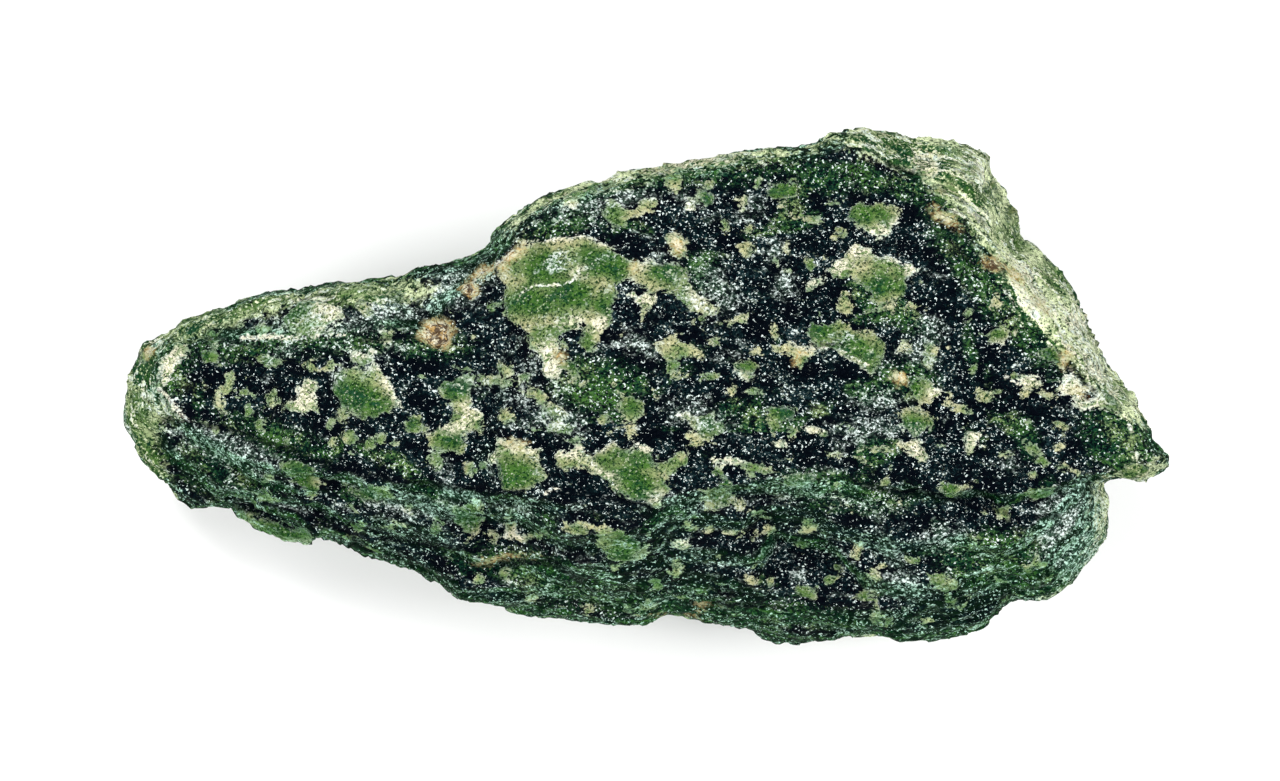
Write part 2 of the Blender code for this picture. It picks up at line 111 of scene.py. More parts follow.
# Markings of the upper side, placed one by one. What a seen_ function takes is in the pixels of a
# view from above, 1280 wide and 781 high, and comes back in millimetres, which all other rows
# are in.
# Outlines of the larger mottles and of the pale slopes: (x, y) points.
MOTTLES = seen_outlines({
    "great": (
        (500, 262), (512, 252), (524, 243), (536, 240), (548, 243), (560, 238), (572, 237), (584, 235),
        (594, 239), (604, 241), (612, 247), (620, 254), (628, 260), (640, 259), (655, 262), (668, 262),
        (680, 268), (690, 278), (698, 287), (704, 296), (712, 304), (719, 311), (714, 316), (702, 318),
        (696, 314), (690, 308), (684, 303), (676, 296), (668, 291), (660, 290), (652, 292), (646, 288),
        (638, 284), (630, 281), (622, 280), (615, 283), (617, 290), (616, 298), (612, 304), (613, 312),
        (611, 322), (606, 330), (600, 336), (597, 345), (592, 352), (585, 350), (581, 342), (584, 332),
        (586, 326), (583, 321), (578, 327), (570, 333), (562, 337), (559, 344), (561, 353), (564, 362),
        (563, 372), (558, 379), (548, 379), (541, 372), (541, 362), (536, 354), (530, 345), (526, 334),
        (520, 326), (508, 319), (505, 308), (503, 298), (506, 288), (500, 280), (496, 270),
    ),
    "west": (
        (338, 376), (347, 370), (356, 366), (364, 372), (370, 370), (372, 364), (380, 366), (384, 374),
        (390, 378), (392, 388), (396, 396), (400, 404), (402, 412), (394, 411), (386, 413), (378, 416),
        (366, 417), (356, 416), (350, 411), (344, 406), (338, 398), (335, 388),
    ),
    "west_cap": (
        (347, 357), (352, 350), (360, 349), (366, 351), (374, 347), (371, 356), (373, 364), (366, 368),
        (356, 366), (349, 363),
    ),
    "middle": (
        (494, 440), (502, 438), (510, 441), (518, 440), (526, 443), (534, 448), (540, 450), (538, 458),
        (541, 466), (545, 474), (542, 482), (536, 486), (528, 491), (516, 492), (506, 488), (502, 480),
        (500, 470), (499, 462), (492, 463), (489, 456), (495, 449),
    ),
    "twin": (
        (557, 452), (565, 450), (573, 449), (578, 446), (584, 449), (592, 455), (600, 450), (606, 445),
        (614, 443), (620, 449), (628, 452), (636, 446), (646, 442), (654, 446), (656, 456), (660, 462),
        (668, 456), (676, 452), (686, 450), (689, 460), (686, 468), (676, 470), (668, 472), (664, 476),
        (670, 482), (672, 490), (666, 494), (662, 502), (654, 508), (648, 504), (640, 499), (630, 497),
        (620, 494), (612, 490), (604, 482), (596, 476), (590, 471), (580, 466), (572, 470), (564, 476),
        (558, 470), (556, 460),
    ),
    "east": (
        (823, 266), (830, 262), (838, 258), (843, 254), (850, 249), (856, 244), (862, 247), (869, 249),
        (872, 256), (880, 259), (888, 257), (896, 259), (904, 264), (912, 266), (918, 270), (914, 276),
        (908, 280), (907, 288), (904, 296), (896, 302), (886, 303), (876, 303), (870, 300), (866, 293),
        (864, 285), (858, 280), (850, 277), (842, 277), (834, 279), (826, 275),
    ),
    "east_foot": (
        (838, 296), (844, 292), (850, 296), (852, 304), (854, 312), (849, 317), (843, 314), (839, 306),
    ),
    "east_cap": (
        (854, 206), (862, 203), (872, 207), (880, 203), (890, 204), (898, 206), (899, 216), (896, 224),
        (891, 232), (884, 238), (878, 241), (872, 237), (865, 232), (858, 229), (851, 223), (849, 214),
    ),
    "east_olive": (
        (806, 330), (814, 324), (824, 322), (832, 324), (840, 320), (848, 323), (856, 330), (862, 332),
        (870, 333), (878, 337), (884, 340), (885, 350), (881, 360), (876, 370), (870, 376), (866, 370),
        (860, 366), (852, 361), (844, 357), (838, 351), (828, 348), (818, 346), (810, 342),
    ),
    "chain": (
        (440, 383), (448, 380), (458, 381), (466, 380), (473, 382), (470, 392), (472, 400), (468, 406),
        (474, 408), (480, 413), (482, 421), (485, 429), (480, 434), (472, 430), (466, 431), (464, 438),
        (466, 447), (464, 452), (456, 455), (446, 451), (438, 450), (430, 447), (428, 440), (432, 434),
        (436, 428), (444, 426), (450, 422), (453, 413), (452, 404), (446, 398), (440, 394),
    ),
    "chain_end": (
        (430, 453), (438, 452), (443, 458), (445, 466), (442, 474), (434, 470), (428, 462),
    ),
    "bean": (
        (400, 422), (406, 417), (414, 418), (421, 417), (424, 423), (429, 428), (425, 433), (416, 431),
        (406, 429),
    ),
    "elbow": (
        (303, 386), (305, 380), (312, 379), (318, 383), (318, 392), (316, 398), (320, 404), (318, 411),
        (310, 410), (304, 414), (296, 412), (288, 411), (283, 406), (290, 400), (298, 396), (301, 391),
    ),
    "oval_pale": (
        (498, 413), (504, 406), (511, 408), (515, 414), (518, 420), (511, 424), (503, 425), (497, 419),
    ),
    "slip": (
        (523, 390), (530, 387), (538, 390), (544, 395), (551, 402), (544, 406), (536, 403), (528, 398),
    ),
    "north_slip": (
        (656, 346), (664, 342), (671, 334), (678, 338), (684, 344), (692, 348), (700, 352), (704, 359),
        (690, 360), (676, 358), (667, 363), (661, 356),
    ),
    "amber": (
        (664, 236), (672, 231), (682, 234), (686, 244), (685, 256), (678, 262), (670, 258), (667, 248),
    ),
    "inner": (
        (627, 293), (634, 290), (640, 295), (646, 291), (652, 296), (656, 303), (651, 310), (645, 314),
        (639, 308), (634, 300),
    ),
    "heart_leaf": (
        (733, 366), (740, 361), (752, 360), (760, 364), (757, 372), (752, 381), (744, 379), (737, 374),
    ),
    "north_leaf": (
        (764, 190), (774, 184), (786, 181), (798, 184), (797, 196), (786, 201), (774, 200),
    ),
    "yellow": (
        (774, 348), (786, 343), (798, 344), (808, 347), (819, 349), (816, 355), (808, 358), (803, 367),
        (797, 368), (793, 358), (784, 354),
    ),
    "coin": (
        (985, 334), (990, 327), (998, 323), (1005, 326), (1009, 333), (1008, 341), (1002, 344),
        (994, 342), (987, 339),
    ),
    "east_buff": (
        (1018, 376), (1025, 372), (1034, 373), (1038, 380), (1041, 386), (1036, 390), (1030, 391),
        (1024, 386),
    ),
    "east_green": (
        (1040, 352), (1047, 348), (1054, 350), (1061, 354), (1067, 358), (1068, 366), (1064, 372),
        (1054, 368), (1046, 364), (1041, 358),
    ),
    "east_white": (
        (1050, 388), (1060, 385), (1064, 376), (1074, 378), (1084, 385), (1094, 387), (1102, 391),
        (1110, 396), (1118, 404), (1124, 412), (1112, 413), (1100, 412), (1090, 410), (1080, 411),
        (1072, 405), (1066, 396), (1058, 392),
    ),
    "far_east": (
        (920, 378), (930, 380), (940, 388), (947, 392), (940, 398), (930, 403), (922, 405), (914, 398),
        (908, 390), (912, 382),
    ),
    "pool": (
        (898, 412), (908, 407), (920, 410), (930, 412), (937, 420), (932, 428), (922, 430), (915, 437),
        (906, 434), (899, 426),
    ),
    "pool_foot": (
        (896, 446), (904, 444), (914, 441), (922, 446), (929, 456), (922, 461), (912, 456), (902, 451),
    ),
    "twig": (
        (963, 434), (972, 431), (984, 432), (980, 440), (976, 448), (972, 453), (966, 448), (963, 441),
    ),
    "south_leaf": (
        (1026, 495), (1034, 489), (1044, 486), (1057, 487), (1056, 492), (1044, 495), (1034, 499),
    ),
    "south_pale": (
        (676, 413), (686, 411), (696, 416), (706, 412), (716, 414), (718, 424), (716, 436), (710, 442),
        (702, 438), (697, 430), (690, 424), (680, 420),
    ),
    "south_cup": (
        (766, 412), (774, 405), (786, 406), (795, 412), (790, 420), (782, 422), (778, 428), (774, 434),
        (768, 428), (764, 418),
    ),
    "south_chip": (
        (805, 427), (812, 423), (820, 426), (826, 432), (829, 438), (820, 437), (812, 433),
    ),
    "under_pale": (
        (701, 500), (704, 490), (712, 487), (724, 488), (733, 494), (732, 504), (722, 506), (712, 510),
        (704, 509),
    ),
    "buff_line": (
        (700, 466), (712, 460), (722, 457), (734, 460), (748, 463), (762, 465), (776, 466), (768, 472),
        (750, 472), (736, 469), (722, 465), (712, 468),
    ),
    "mint": (
        (780, 478), (790, 474), (802, 470), (812, 473), (817, 480), (804, 485), (790, 488), (782, 486),
    ),
    "belly": (
        (618, 400), (626, 396), (636, 396), (642, 404), (644, 414), (640, 423), (632, 427), (624, 421),
        (621, 411),
    ),
    "west_band": (
        (283, 318), (290, 308), (300, 303), (312, 302), (325, 303), (336, 307), (344, 314), (340, 322),
        (332, 328), (326, 336), (312, 338), (298, 336), (288, 331),
    ),
    "tail_vein": (
        (178, 343), (186, 346), (190, 351), (184, 358), (176, 366), (174, 374), (168, 381), (166, 388),
        (158, 389), (153, 384), (160, 378), (163, 370), (161, 362), (165, 357), (172, 352),
    ),
    "tail_square": (
        (202, 350), (210, 347), (219, 349), (221, 357), (218, 364), (208, 362),
    ),
    "tail_bean": (
        (255, 359), (262, 354), (270, 357), (278, 355), (285, 360), (278, 366), (266, 367), (258, 364),
    ),
    "flank_leaf": (
        (280, 464), (290, 461), (302, 462), (312, 466), (319, 474), (320, 484), (316, 492), (313, 501),
        (306, 494), (300, 486), (292, 478), (284, 470),
    ),
    "flank_pair": (
        (341, 482), (352, 484), (360, 490), (372, 485), (384, 485), (392, 492), (390, 500), (380, 503),
        (366, 501), (356, 496), (346, 490),
    ),
    "flake": (
        (234, 507), (246, 511), (256, 517), (270, 520), (286, 522), (300, 526), (312, 532), (320, 536),
        (314, 548), (300, 550), (286, 546), (270, 540), (254, 532), (240, 520),
    ),
    "flank_curtain": (
        (453, 506), (462, 503), (472, 500), (481, 503), (482, 514), (480, 524), (476, 534), (466, 530),
        (458, 524), (452, 516),
    ),
    "hook": (
        (508, 521), (514, 522), (518, 532), (528, 534), (538, 530), (549, 530), (542, 538), (530, 542),
        (518, 543), (508, 540), (504, 534),
    ),
    "flank_green": (
        (597, 528), (610, 526), (622, 530), (630, 536), (638, 542), (651, 545), (649, 555), (636, 560),
        (620, 561), (606, 557), (598, 546),
    ),
    "flank_bit": (
        (562, 524), (572, 521), (584, 523), (595, 528), (588, 534), (576, 532), (566, 530),
    ),
    "flank_buff": (
        (668, 540), (676, 538), (686, 539), (693, 546), (686, 551), (676, 548),
    ),
    "lobe_pale": (
        (790, 588), (800, 583), (808, 584), (814, 590), (818, 598), (808, 601), (798, 598),
    ),
    "lobe_grey": (
        (929, 575), (938, 571), (946, 576), (956, 580), (959, 588), (948, 592), (938, 590), (931, 584),
    ),
    "rim_west": (
        (560, 200), (572, 193), (585, 188), (600, 182), (614, 181), (606, 188), (594, 194), (586, 203),
        (576, 210), (566, 208),
    ),
    "rim_mid": (
        (640, 168), (655, 160), (680, 157), (705, 158), (728, 156), (740, 156), (735, 163), (726, 168),
        (712, 172), (695, 168), (675, 174), (662, 172), (650, 167),
    ),
    "grey_pair": (
        (600, 208), (612, 200), (622, 205), (634, 208), (640, 200), (652, 198), (659, 204), (656, 212),
        (644, 215), (632, 220), (624, 228), (612, 229), (605, 220),
    ),
    "top_pale": (
        (666, 178), (676, 175), (685, 180), (683, 190), (674, 193), (667, 186),
    ),
    "top_buff": (
        (681, 202), (688, 198), (697, 201), (695, 208), (686, 209),
    ),
    "top_green": (
        (694, 192), (704, 189), (713, 194), (712, 203), (702, 206), (696, 200),
    ),
    "top_spot": (
        (738, 248), (748, 242), (757, 247), (754, 254), (745, 258),
    ),
    "small_shell": (
        (803, 286), (810, 281), (820, 280), (823, 285), (812, 290), (805, 296),
    ),
    "comma": (
        (735, 318), (742, 313), (751, 312), (748, 318), (739, 323),
    ),
    "crown_cream": (
        (908, 160), (920, 157), (934, 160), (942, 170), (934, 178), (922, 180), (914, 172),
    ),
    "spur_pale": (
        (1124, 464), (1134, 461), (1144, 463), (1150, 470), (1148, 478), (1138, 484), (1130, 477),
        (1123, 472),
    ),
})
# The pale slopes are the broken bevels; their paleness is partly their own pale green and partly a painted
# sheen where they face the light.
PALE_SLOPES = {
    **seen_outlines({
        "top": (
            (515, 228), (540, 206), (565, 199), (600, 190), (640, 177), (700, 171), (740, 164),
            (800, 150), (842, 140), (842, 110), (600, 130), (480, 230),
        ),
        "tail": (
            (110, 330), (150, 340), (160, 350), (154, 380), (150, 392), (186, 420), (160, 424),
            (157, 450), (168, 480), (110, 490), (90, 400),
        ),
        "tip": (
            (1122, 462), (1138, 458), (1150, 462), (1190, 470), (1160, 500), (1120, 490),
        ),
    }),
    "right": (
        (22.9, 29.1), (23.8, 27.5), (26, 26.4), (28.9, 25.4), (31.6, 24), (34.4, 22), (36.8, 19.4),
        (38.4, 17.2), (40.3, 14.2), (41.9, 11), (43.5, 7.6), (45.8, 5), (48.3, 2.7), (51, -0.1),
        (53.6, -2.4), (57.3, -5.4), (62, -5.4), (62, 0.4), (55, 9.7), (48.1, 21.2), (41.2, 31.6),
        (25, 31.6),
    ),
    "lobe": (
        (51.8, -12.1), (52.6, -14.6), (51.9, -16.9), (51.6, -19.5), (49.6, -22.6), (45.6, -25.2),
        (48.1, -29.7), (57.3, -22.7), (57.3, -11.2), (53.6, -10.7),
    ),
    "tail_top": (
        (-60.6, 5.6), (-51.3, 8.3), (-42.1, 10.8), (-36.3, 11.5), (-28.2, 11.7), (-23.6, 11.3),
        (-25.9, 9.8), (-34, 9), (-40.9, 8.8), (-46.7, 7), (-53.6, 4.8), (-58.3, 3.7),
    ),
}
# Ovals: (x, y, half the length, half the width, turn in degrees).
SMALL_MOTTLES = seen_ovals(
    (243, 390, 5, 5, 0), (435, 441, 4, 4, 0), (470, 468, 5, 6, 0), (343, 415, 5, 9, -20),
    (350, 436, 11, 6, -25), (372, 443, 7, 5, 20), (381, 439, 5, 6, 0), (393, 443, 5, 3, -20),
    (274, 398, 5, 11, -25), (227, 384, 7, 12, -20), (312, 366, 7, 6, 0), (332, 367, 9, 4, 0),
    (330, 424, 6, 4, 30), (576, 438, 7, 4, 0), (630, 434, 7, 9, 0), (710, 377, 8, 4, 15),
    (695, 440, 6, 8, 0), (779, 443, 9, 4, -10), (793, 431, 5, 7, 0), (846, 427, 5, 3, 0),
    (833, 454, 8, 3, -5), (862, 462, 9, 4, -40), (876, 451, 14, 3, 0), (710, 490, 9, 4, 0),
    (739, 502, 6, 7, 0), (728, 485, 6, 5, 0), (757, 512, 8, 3, -25), (755, 529, 6, 4, 10),
    (769, 529, 7, 4, 10), (690, 528, 6, 4, 20), (709, 530, 6, 5, 10), (732, 534, 8, 3, -5),
    (808, 527, 8, 7, 0), (802, 544, 6, 4, -20), (858, 551, 5, 7, 0), (874, 575, 8, 5, 5),
    (865, 596, 10, 6, 10), (876, 620, 7, 5, 0), (888, 620, 6, 5, 0), (838, 567, 4, 5, 0),
    (750, 579, 6, 6, 0), (769, 581, 4, 6, 0), (677, 568, 7, 6, 0), (658, 586, 8, 6, 0),
    (648, 607, 8, 5, 0), (631, 610, 6, 4, 0), (589, 610, 7, 5, 0), (532, 598, 8, 4, 0),
    (480, 580, 6, 5, 0), (505, 574, 7, 5, 0), (492, 535, 8, 4, -25), (437, 528, 4, 7, 0),
    (408, 507, 5, 4, 0), (391, 525, 9, 3, 5), (357, 526, 8, 5, 0), (268, 478, 5, 4, 0),
    (267, 496, 12, 6, -15), (950, 600, 5, 5, 0), (1027, 568, 5, 5, 0), (965, 486, 5, 4, 0),
    (951, 489, 11, 7, -10), (1002, 512, 9, 7, 0), (1032, 447, 8, 4, -25), (1042, 461, 8, 5, -35),
    (1061, 447, 5, 5, 0), (1006, 456, 6, 3, 0), (940, 446, 6, 3, 0), (1024, 394, 5, 5, 0),
    (1046, 396, 9, 3, -20), (997, 390, 5, 4, 0), (974, 369, 6, 5, 0), (1062, 428, 7, 4, 0),
    (1064, 468, 6, 3, 0), (1033, 476, 5, 6, 0), (996, 304, 4, 6, 0), (967, 318, 5, 6, 0),
    (898, 377, 8, 9, 0), (890, 310, 5, 4, 0), (868, 311, 5, 3, 0), (850, 305, 4, 4, 0),
    (840, 233, 6, 4, 0), (812, 221, 9, 4, -25), (790, 214, 8, 3, -30), (832, 203, 8, 3, 5),
    (748, 229, 5, 4, 0), (723, 224, 5, 9, 25), (711, 186, 5, 6, 0), (758, 184, 6, 6, 0),
    (773, 228, 5, 3, 0), (788, 250, 3, 6, 0), (810, 266, 5, 7, 0), (775, 262, 4, 7, 15),
    (792, 272, 5, 3, 0), (742, 202, 5, 9, 15), (716, 344, 5, 6, 0), (727, 325, 6, 3, 0),
    (772, 330, 4, 8, 0), (755, 350, 6, 4, 0), (715, 342, 7, 3, 0), (752, 391, 7, 3, 0),
    (733, 389, 5, 4, 0), (700, 322, 5, 6, 0), (641, 316, 3, 5, 0), (696, 296, 6, 10, 30),
    (484, 468, 3, 4, 0), (504, 370, 7, 8, 40), (524, 376, 5, 5, 0), (536, 431, 6, 4, 10),
    (556, 412, 12, 8, -10), (560, 428, 14, 8, -15), (493, 383, 24, 5, -5), (461, 369, 8, 3, 0),
    (604, 418, 6, 5, 0), (614, 430, 7, 3, 0), (568, 366, 9, 8, 0), (573, 378, 5, 4, 0),
    (585, 386, 4, 3, 0), (493, 307, 4, 6, 0), (589, 346, 5, 6, 0), (212, 336, 7, 10, 30),
    (205, 384, 4, 5, 0), (220, 402, 5, 10, 20), (248, 411, 5, 6, 0), (262, 425, 7, 6, 0),
    (146, 355, 5, 6, 0), (265, 331, 8, 7, 20), (246, 324, 8, 3, 0), (254, 395, 3, 3, 0),
    (300, 386, 3, 3, 0), (365, 308, 10, 7, -15), (395, 296, 9, 4, -10), (390, 337, 13, 4, 5),
    (940, 190, 8, 5, -20), (972, 170, 9, 9, 0), (990, 190, 7, 6, 30), (1010, 214, 6, 8, 0),
    (930, 350, 9, 9, 0), (925, 364, 7, 6, 0), (905, 348, 6, 5, 0), (948, 398, 6, 5, 0),
    (960, 408, 10, 4, -10), (916, 305, 9, 4, -20), (985, 396, 7, 4, 0), (1094, 398, 4, 3, 0),
)
HEARTS = (
    *seen_ovals(
        (605, 262, 27, 14, -20), (545, 268, 22, 16, 0), (532, 303, 27, 13, -5), (576, 294, 20, 16, 0),
        (598, 303, 9, 8, 0), (664, 272, 15, 8, 0), (362, 397, 20, 13, -10), (343, 388, 6, 13, 0),
        (516, 474, 19, 14, 0), (638, 481, 20, 13, -20), (607, 460, 12, 8, 0), (648, 464, 12, 8, 0),
        (884, 288, 17, 9, 0), (864, 212, 12, 12, 0), (878, 214, 11, 8, 0), (856, 345, 22, 10, -30),
        (826, 331, 18, 7, -5), (785, 192, 14, 7, 5), (1050, 360, 9, 8, 0), (912, 390, 11, 10, 0),
        (913, 424, 14, 7, 10), (950, 489, 9, 5, 0), (1042, 492, 14, 4, 0), (624, 544, 14, 9, -10),
        (286, 527, 26, 8, -15), (303, 478, 9, 12, 0), (300, 312, 11, 8, 0), (704, 196, 8, 6, 0),
        (749, 367, 10, 6, 0), (782, 412, 11, 6, 0), (708, 428, 9, 8, 0), (452, 441, 12, 6, 0),
        (458, 391, 12, 7, 0), (415, 425, 9, 5, -10), (997, 332, 7, 6, 0), (728, 485, 6, 5, 0),
        (802, 479, 14, 5, 0), (865, 596, 8, 5, 0), (1136, 472, 9, 5, 0), (718, 498, 8, 6, 0),
        (372, 494, 12, 6, 0), (466, 514, 9, 12, 0), (574, 367, 6, 6, 0), (632, 408, 7, 8, 0),
        (270, 361, 9, 4, 0), (211, 355, 6, 5, 0),
    ),
    (47.8, 12.2, 2.6, 1.6, -55), (43, 16.8, 2.6, 1.6, -55), (46.9, 3.2, 1.5, 1, -30),
    (39.5, 21.5, 2.2, 1.2, -50), (36.2, 26.8, 2.4, 1.1, -20), (54.7, -1.2, 1.6, 1.4, -40),
    (50.5, 6.5, 1.6, 1, -60), (-58.5, -2.6, 1.6, 2, 0), (-57.6, -8, 1.4, 2.4, 20), (-58.2, 2, 1, 1.8, 0),
    (-41.4, -16.9, 3, 0.8, -15), (-47.5, 8.4, 2.4, 0.8, 18), (-33.5, 10.4, 2, 0.7, 5),
    (56.5, -8.4, 1.6, 1, -20),
)
CREAM = (
    *seen_ovals(
        (392, 392, 6, 22, 16), (377, 369, 7, 5, 0), (514, 446, 24, 5, -10), (495, 457, 6, 7, 0),
        (608, 447, 14, 4, 10), (644, 447, 14, 5, 0), (601, 469, 24, 4, -38), (654, 494, 8, 12, -20),
        (570, 453, 12, 5, 0), (838, 266, 15, 7, 15), (858, 252, 10, 8, 0), (900, 263, 14, 5, -15),
        (911, 272, 7, 9, 0), (876, 234, 15, 6, 0), (893, 222, 6, 8, 0), (842, 357, 25, 3, -28),
        (632, 270, 4, 12, 0), (652, 264, 20, 4, 0), (697, 296, 6, 14, 35), (579, 276, 6, 10, -45),
        (560, 240, 26, 3, 5), (605, 243, 18, 3, -25), (548, 352, 10, 14, 0), (552, 366, 12, 12, 0),
        (598, 323, 8, 9, 0), (572, 322, 12, 5, 15), (676, 245, 8, 12, 0), (640, 300, 12, 8, -20),
        (305, 397, 12, 16, -30), (470, 412, 9, 18, -25), (452, 431, 14, 5, 0), (360, 354, 12, 6, 20),
        (1080, 394, 22, 12, -20), (1066, 372, 6, 6, 0), (170, 368, 10, 22, -30), (326, 318, 16, 14, 0),
        (684, 414, 10, 4, 0), (716, 462, 16, 4, -15), (728, 462, 10, 4, -5), (812, 427, 8, 4, -15),
        (779, 443, 8, 3, -10), (640, 551, 9, 6, 0), (744, 374, 10, 5, 0), (804, 350, 12, 5, -10),
        (924, 166, 16, 8, -10), (680, 543, 9, 6, 0), (516, 534, 12, 6, 0), (570, 205, 12, 5, 20),
        (690, 163, 30, 5, 3), (302, 539, 14, 5, -15), (1002, 340, 8, 4, 10), (1030, 380, 10, 7, 0),
        (974, 440, 10, 8, 0), (935, 390, 9, 9, 0), (916, 450, 10, 6, -30), (686, 204, 8, 5, 0),
        (810, 284, 9, 4, 0),
    ),
    (45, 10.4, 4.4, 0.9, -57), (49.5, 7.6, 3, 1.1, -60), (52, 1.5, 3.6, 0.9, -58),
    (46.8, 8, 3.4, 0.7, -55), (50.6, -1.6, 2.6, 1.4, -30), (38.6, 25.2, 1, 1.8, 20),
    (38.5, 19.6, 1.8, 0.4, -48), (49.4, 8.6, 1.2, 1, 0), (-55.6, -2.6, 2.8, 0.7, -42),
    (-38.4, 9.6, 2.6, 0.7, 0), (-57.2, 4.6, 1.6, 0.8, 25), (33, 25.6, 2, 0.8, -20),
)
NOTCHES = seen_ovals(
    (1090, 398, 5, 4, 0), (655, 455, 3, 7, 0), (460, 373, 9, 3, 0), (625, 350, 3, 3, 0),
)
EMERALD_GROUND = (
    *seen_ovals(
        (595, 384, 42, 26, 0), (274, 437, 46, 13, -18), (560, 225, 40, 14, 25), (700, 175, 80, 10, 8),
        (430, 345, 36, 12, 0), (905, 380, 28, 20, 0), (335, 340, 60, 10, 0), (160, 370, 30, 30, 0),
        (700, 262, 16, 10, 0), (1000, 560, 60, 30, 0), (230, 470, 50, 16, -25), (1000, 300, 90, 18, -50),
        (900, 150, 60, 16, -15), (820, 175, 30, 12, -20),
    ),
    (-45.5, 4.5, 8.1, 1.5, 2), (-13, -21.5, 7, 1.8, -12), (22, -12.5, 7, 2, -8), (8, -26.4, 16, 1.3, -3),
    (54.8, -6.8, 4.4, 3.2, -30), (49.5, -20.5, 4.5, 3, 50), (35.5, 19.6, 5, 0.8, -46),
    (41, 12.6, 3.6, 0.6, -52), (37.6, 22.4, 3.2, 0.8, -52), (40.2, 20.8, 2, 0.9, -40),
    (34.4, 25, 1.6, 2.4, 10), (-58, -10, 2.4, 1.4, -20), (-52, 6.6, 2.6, 0.7, 20),
    (-29.5, 10.2, 1.8, 0.6, 0), (49, 4, 3, 0.5, -58),
)
FROST = (
    *seen_ovals(
        (330, 330, 70, 8, 2), (240, 338, 40, 6, 0), (425, 508, 50, 12, -8), (225, 448, 58, 16, -22),
        (890, 552, 38, 9, -66), (946, 538, 24, 14, -10), (797, 488, 20, 14, 0), (696, 300, 30, 10, -45),
        (480, 385, 30, 5, 0), (562, 422, 26, 16, -10), (160, 405, 24, 12, -35), (700, 418, 34, 14, -25),
        (930, 330, 16, 16, 0), (920, 355, 20, 12, -20), (878, 400, 26, 10, -5), (870, 430, 40, 12, 0),
        (600, 205, 60, 10, 12), (720, 290, 16, 30, 40), (785, 285, 12, 16, 0), (640, 345, 24, 10, -20),
        (1090, 392, 24, 12, -20), (516, 510, 18, 10, 0), (340, 380, 10, 10, 0), (360, 360, 14, 10, 0),
        (560, 386, 10, 6, -30), (700, 500, 60, 8, 0), (900, 585, 30, 14, -10), (365, 320, 30, 8, 5),
        (520, 398, 20, 6, -30),
    ),
    (-22.7, 10.1, 4, 1.9, 20), (-29.4, 8.2, 5.5, 1.7, 8), (-39.8, 7.1, 5.8, 1.4, 5),
    (-20.1, 12, 4.6, 2, 25), (49.4, -17.2, 4.4, 5.6, 0), (51, -14, 3, 3, 0), (12.6, 20.6, 1.6, 1.2, -15),
    (15, 15, 1.2, 2, -30), (22, -13.2, 5, 0.7, -10),
)
OCHRE_STAINS = (
    *seen_ovals(
        (676, 245, 8, 11, 0), (512, 256, 17, 6, 38), (482, 272, 15, 6, 28), (468, 288, 9, 9, 40),
        (995, 264, 10, 5, -20), (1014, 275, 14, 4, -55), (1040, 305, 12, 3, -48), (1078, 391, 9, 6, 0),
        (1064, 363, 5, 8, 0), (502, 559, 14, 2, 5), (702, 606, 5, 3, 0), (437, 333, 17, 15, 0),
        (634, 268, 4, 7, 0), (1068, 355, 6, 4, -40), (945, 218, 16, 4, -35), (675, 617, 16, 3, 0),
        (150, 352, 6, 5, 0), (898, 378, 8, 9, 0), (560, 357, 6, 6, 0), (515, 444, 10, 4, 0),
    ),
    (17.9, 3.6, 1, 0.5, 0), (17.5, 2.5, 0.4, 0.4, 0),
)
RUST_PITS = seen_ovals(
    (435, 330, 4, 4, 0), (442, 338, 4, 3, 0), (430, 341, 3, 3, 0), (444, 328, 3, 3, 0),
    (437, 345, 3, 2, 0), (468, 290, 3, 5, 0), (1088, 398, 4, 2, 20), (993, 265, 8, 3, -20),
)
# Straight lines: (x, y, x, y, half the width).
VEINS = seen_lines(
    (500, 298, 520, 295, 0.12), (520, 295, 536, 286, 0.12), (536, 286, 562, 285, 0.14),
    (562, 285, 576, 279, 0.14), (576, 279, 580, 272, 0.2), (158, 388, 172, 402, 0.2),
    (172, 402, 188, 420, 0.25), (1004, 375, 1024, 388, 0.15), (583, 452, 600, 470, 0.2),
    (600, 470, 618, 490, 0.15), (846, 352, 868, 366, 0.2), (822, 346, 846, 352, 0.12),
    (545, 493, 553, 488, 0.12), (553, 488, 566, 493, 0.12), (470, 285, 490, 268, 0.2),
    (490, 268, 514, 250, 0.2), (560, 240, 548, 243, 0.12), (575, 236, 600, 241, 0.1),
    (240, 338, 300, 338, 0.2), (300, 338, 345, 336, 0.15), (990, 343, 1000, 351, 0.1),
    (1000, 351, 1010, 352, 0.1), (1062, 384, 1072, 376, 0.25),
)
# Creases below the ridges: sunk into the surface, and darkened in the material as painted shade.
CREASES = seen_lines(
    (160, 420, 200, 424, 0.25), (200, 424, 240, 432, 0.3), (240, 434, 290, 450, 0.35),
    (290, 450, 330, 464, 0.35), (330, 466, 382, 479, 0.5), (382, 480, 430, 487, 0.35),
    (430, 487, 470, 491, 0.4), (470, 492, 520, 494, 0.4), (566, 492, 620, 499, 0.35),
    (620, 499, 652, 508, 0.3), (234, 506, 300, 516, 0.4), (300, 516, 345, 535, 0.3),
    (345, 535, 372, 556, 0.3), (500, 565, 548, 563, 0.45), (548, 563, 580, 582, 0.35),
    (380, 540, 440, 548, 0.25), (440, 548, 490, 552, 0.25), (850, 482, 890, 492, 0.35),
    (890, 492, 950, 500, 0.3), (950, 500, 1010, 514, 0.3), (1010, 520, 1060, 516, 0.3),
    (690, 604, 780, 610, 0.25), (770, 560, 800, 572, 0.2), (845, 345, 812, 345, 0.2),
    (890, 160, 912, 172, 0.3), (950, 240, 975, 262, 0.3), (1060, 355, 1095, 392, 0.25),
    (300, 297, 330, 294, 0.2), (205, 335, 260, 345, 0.2), (360, 340, 420, 336, 0.25),
)


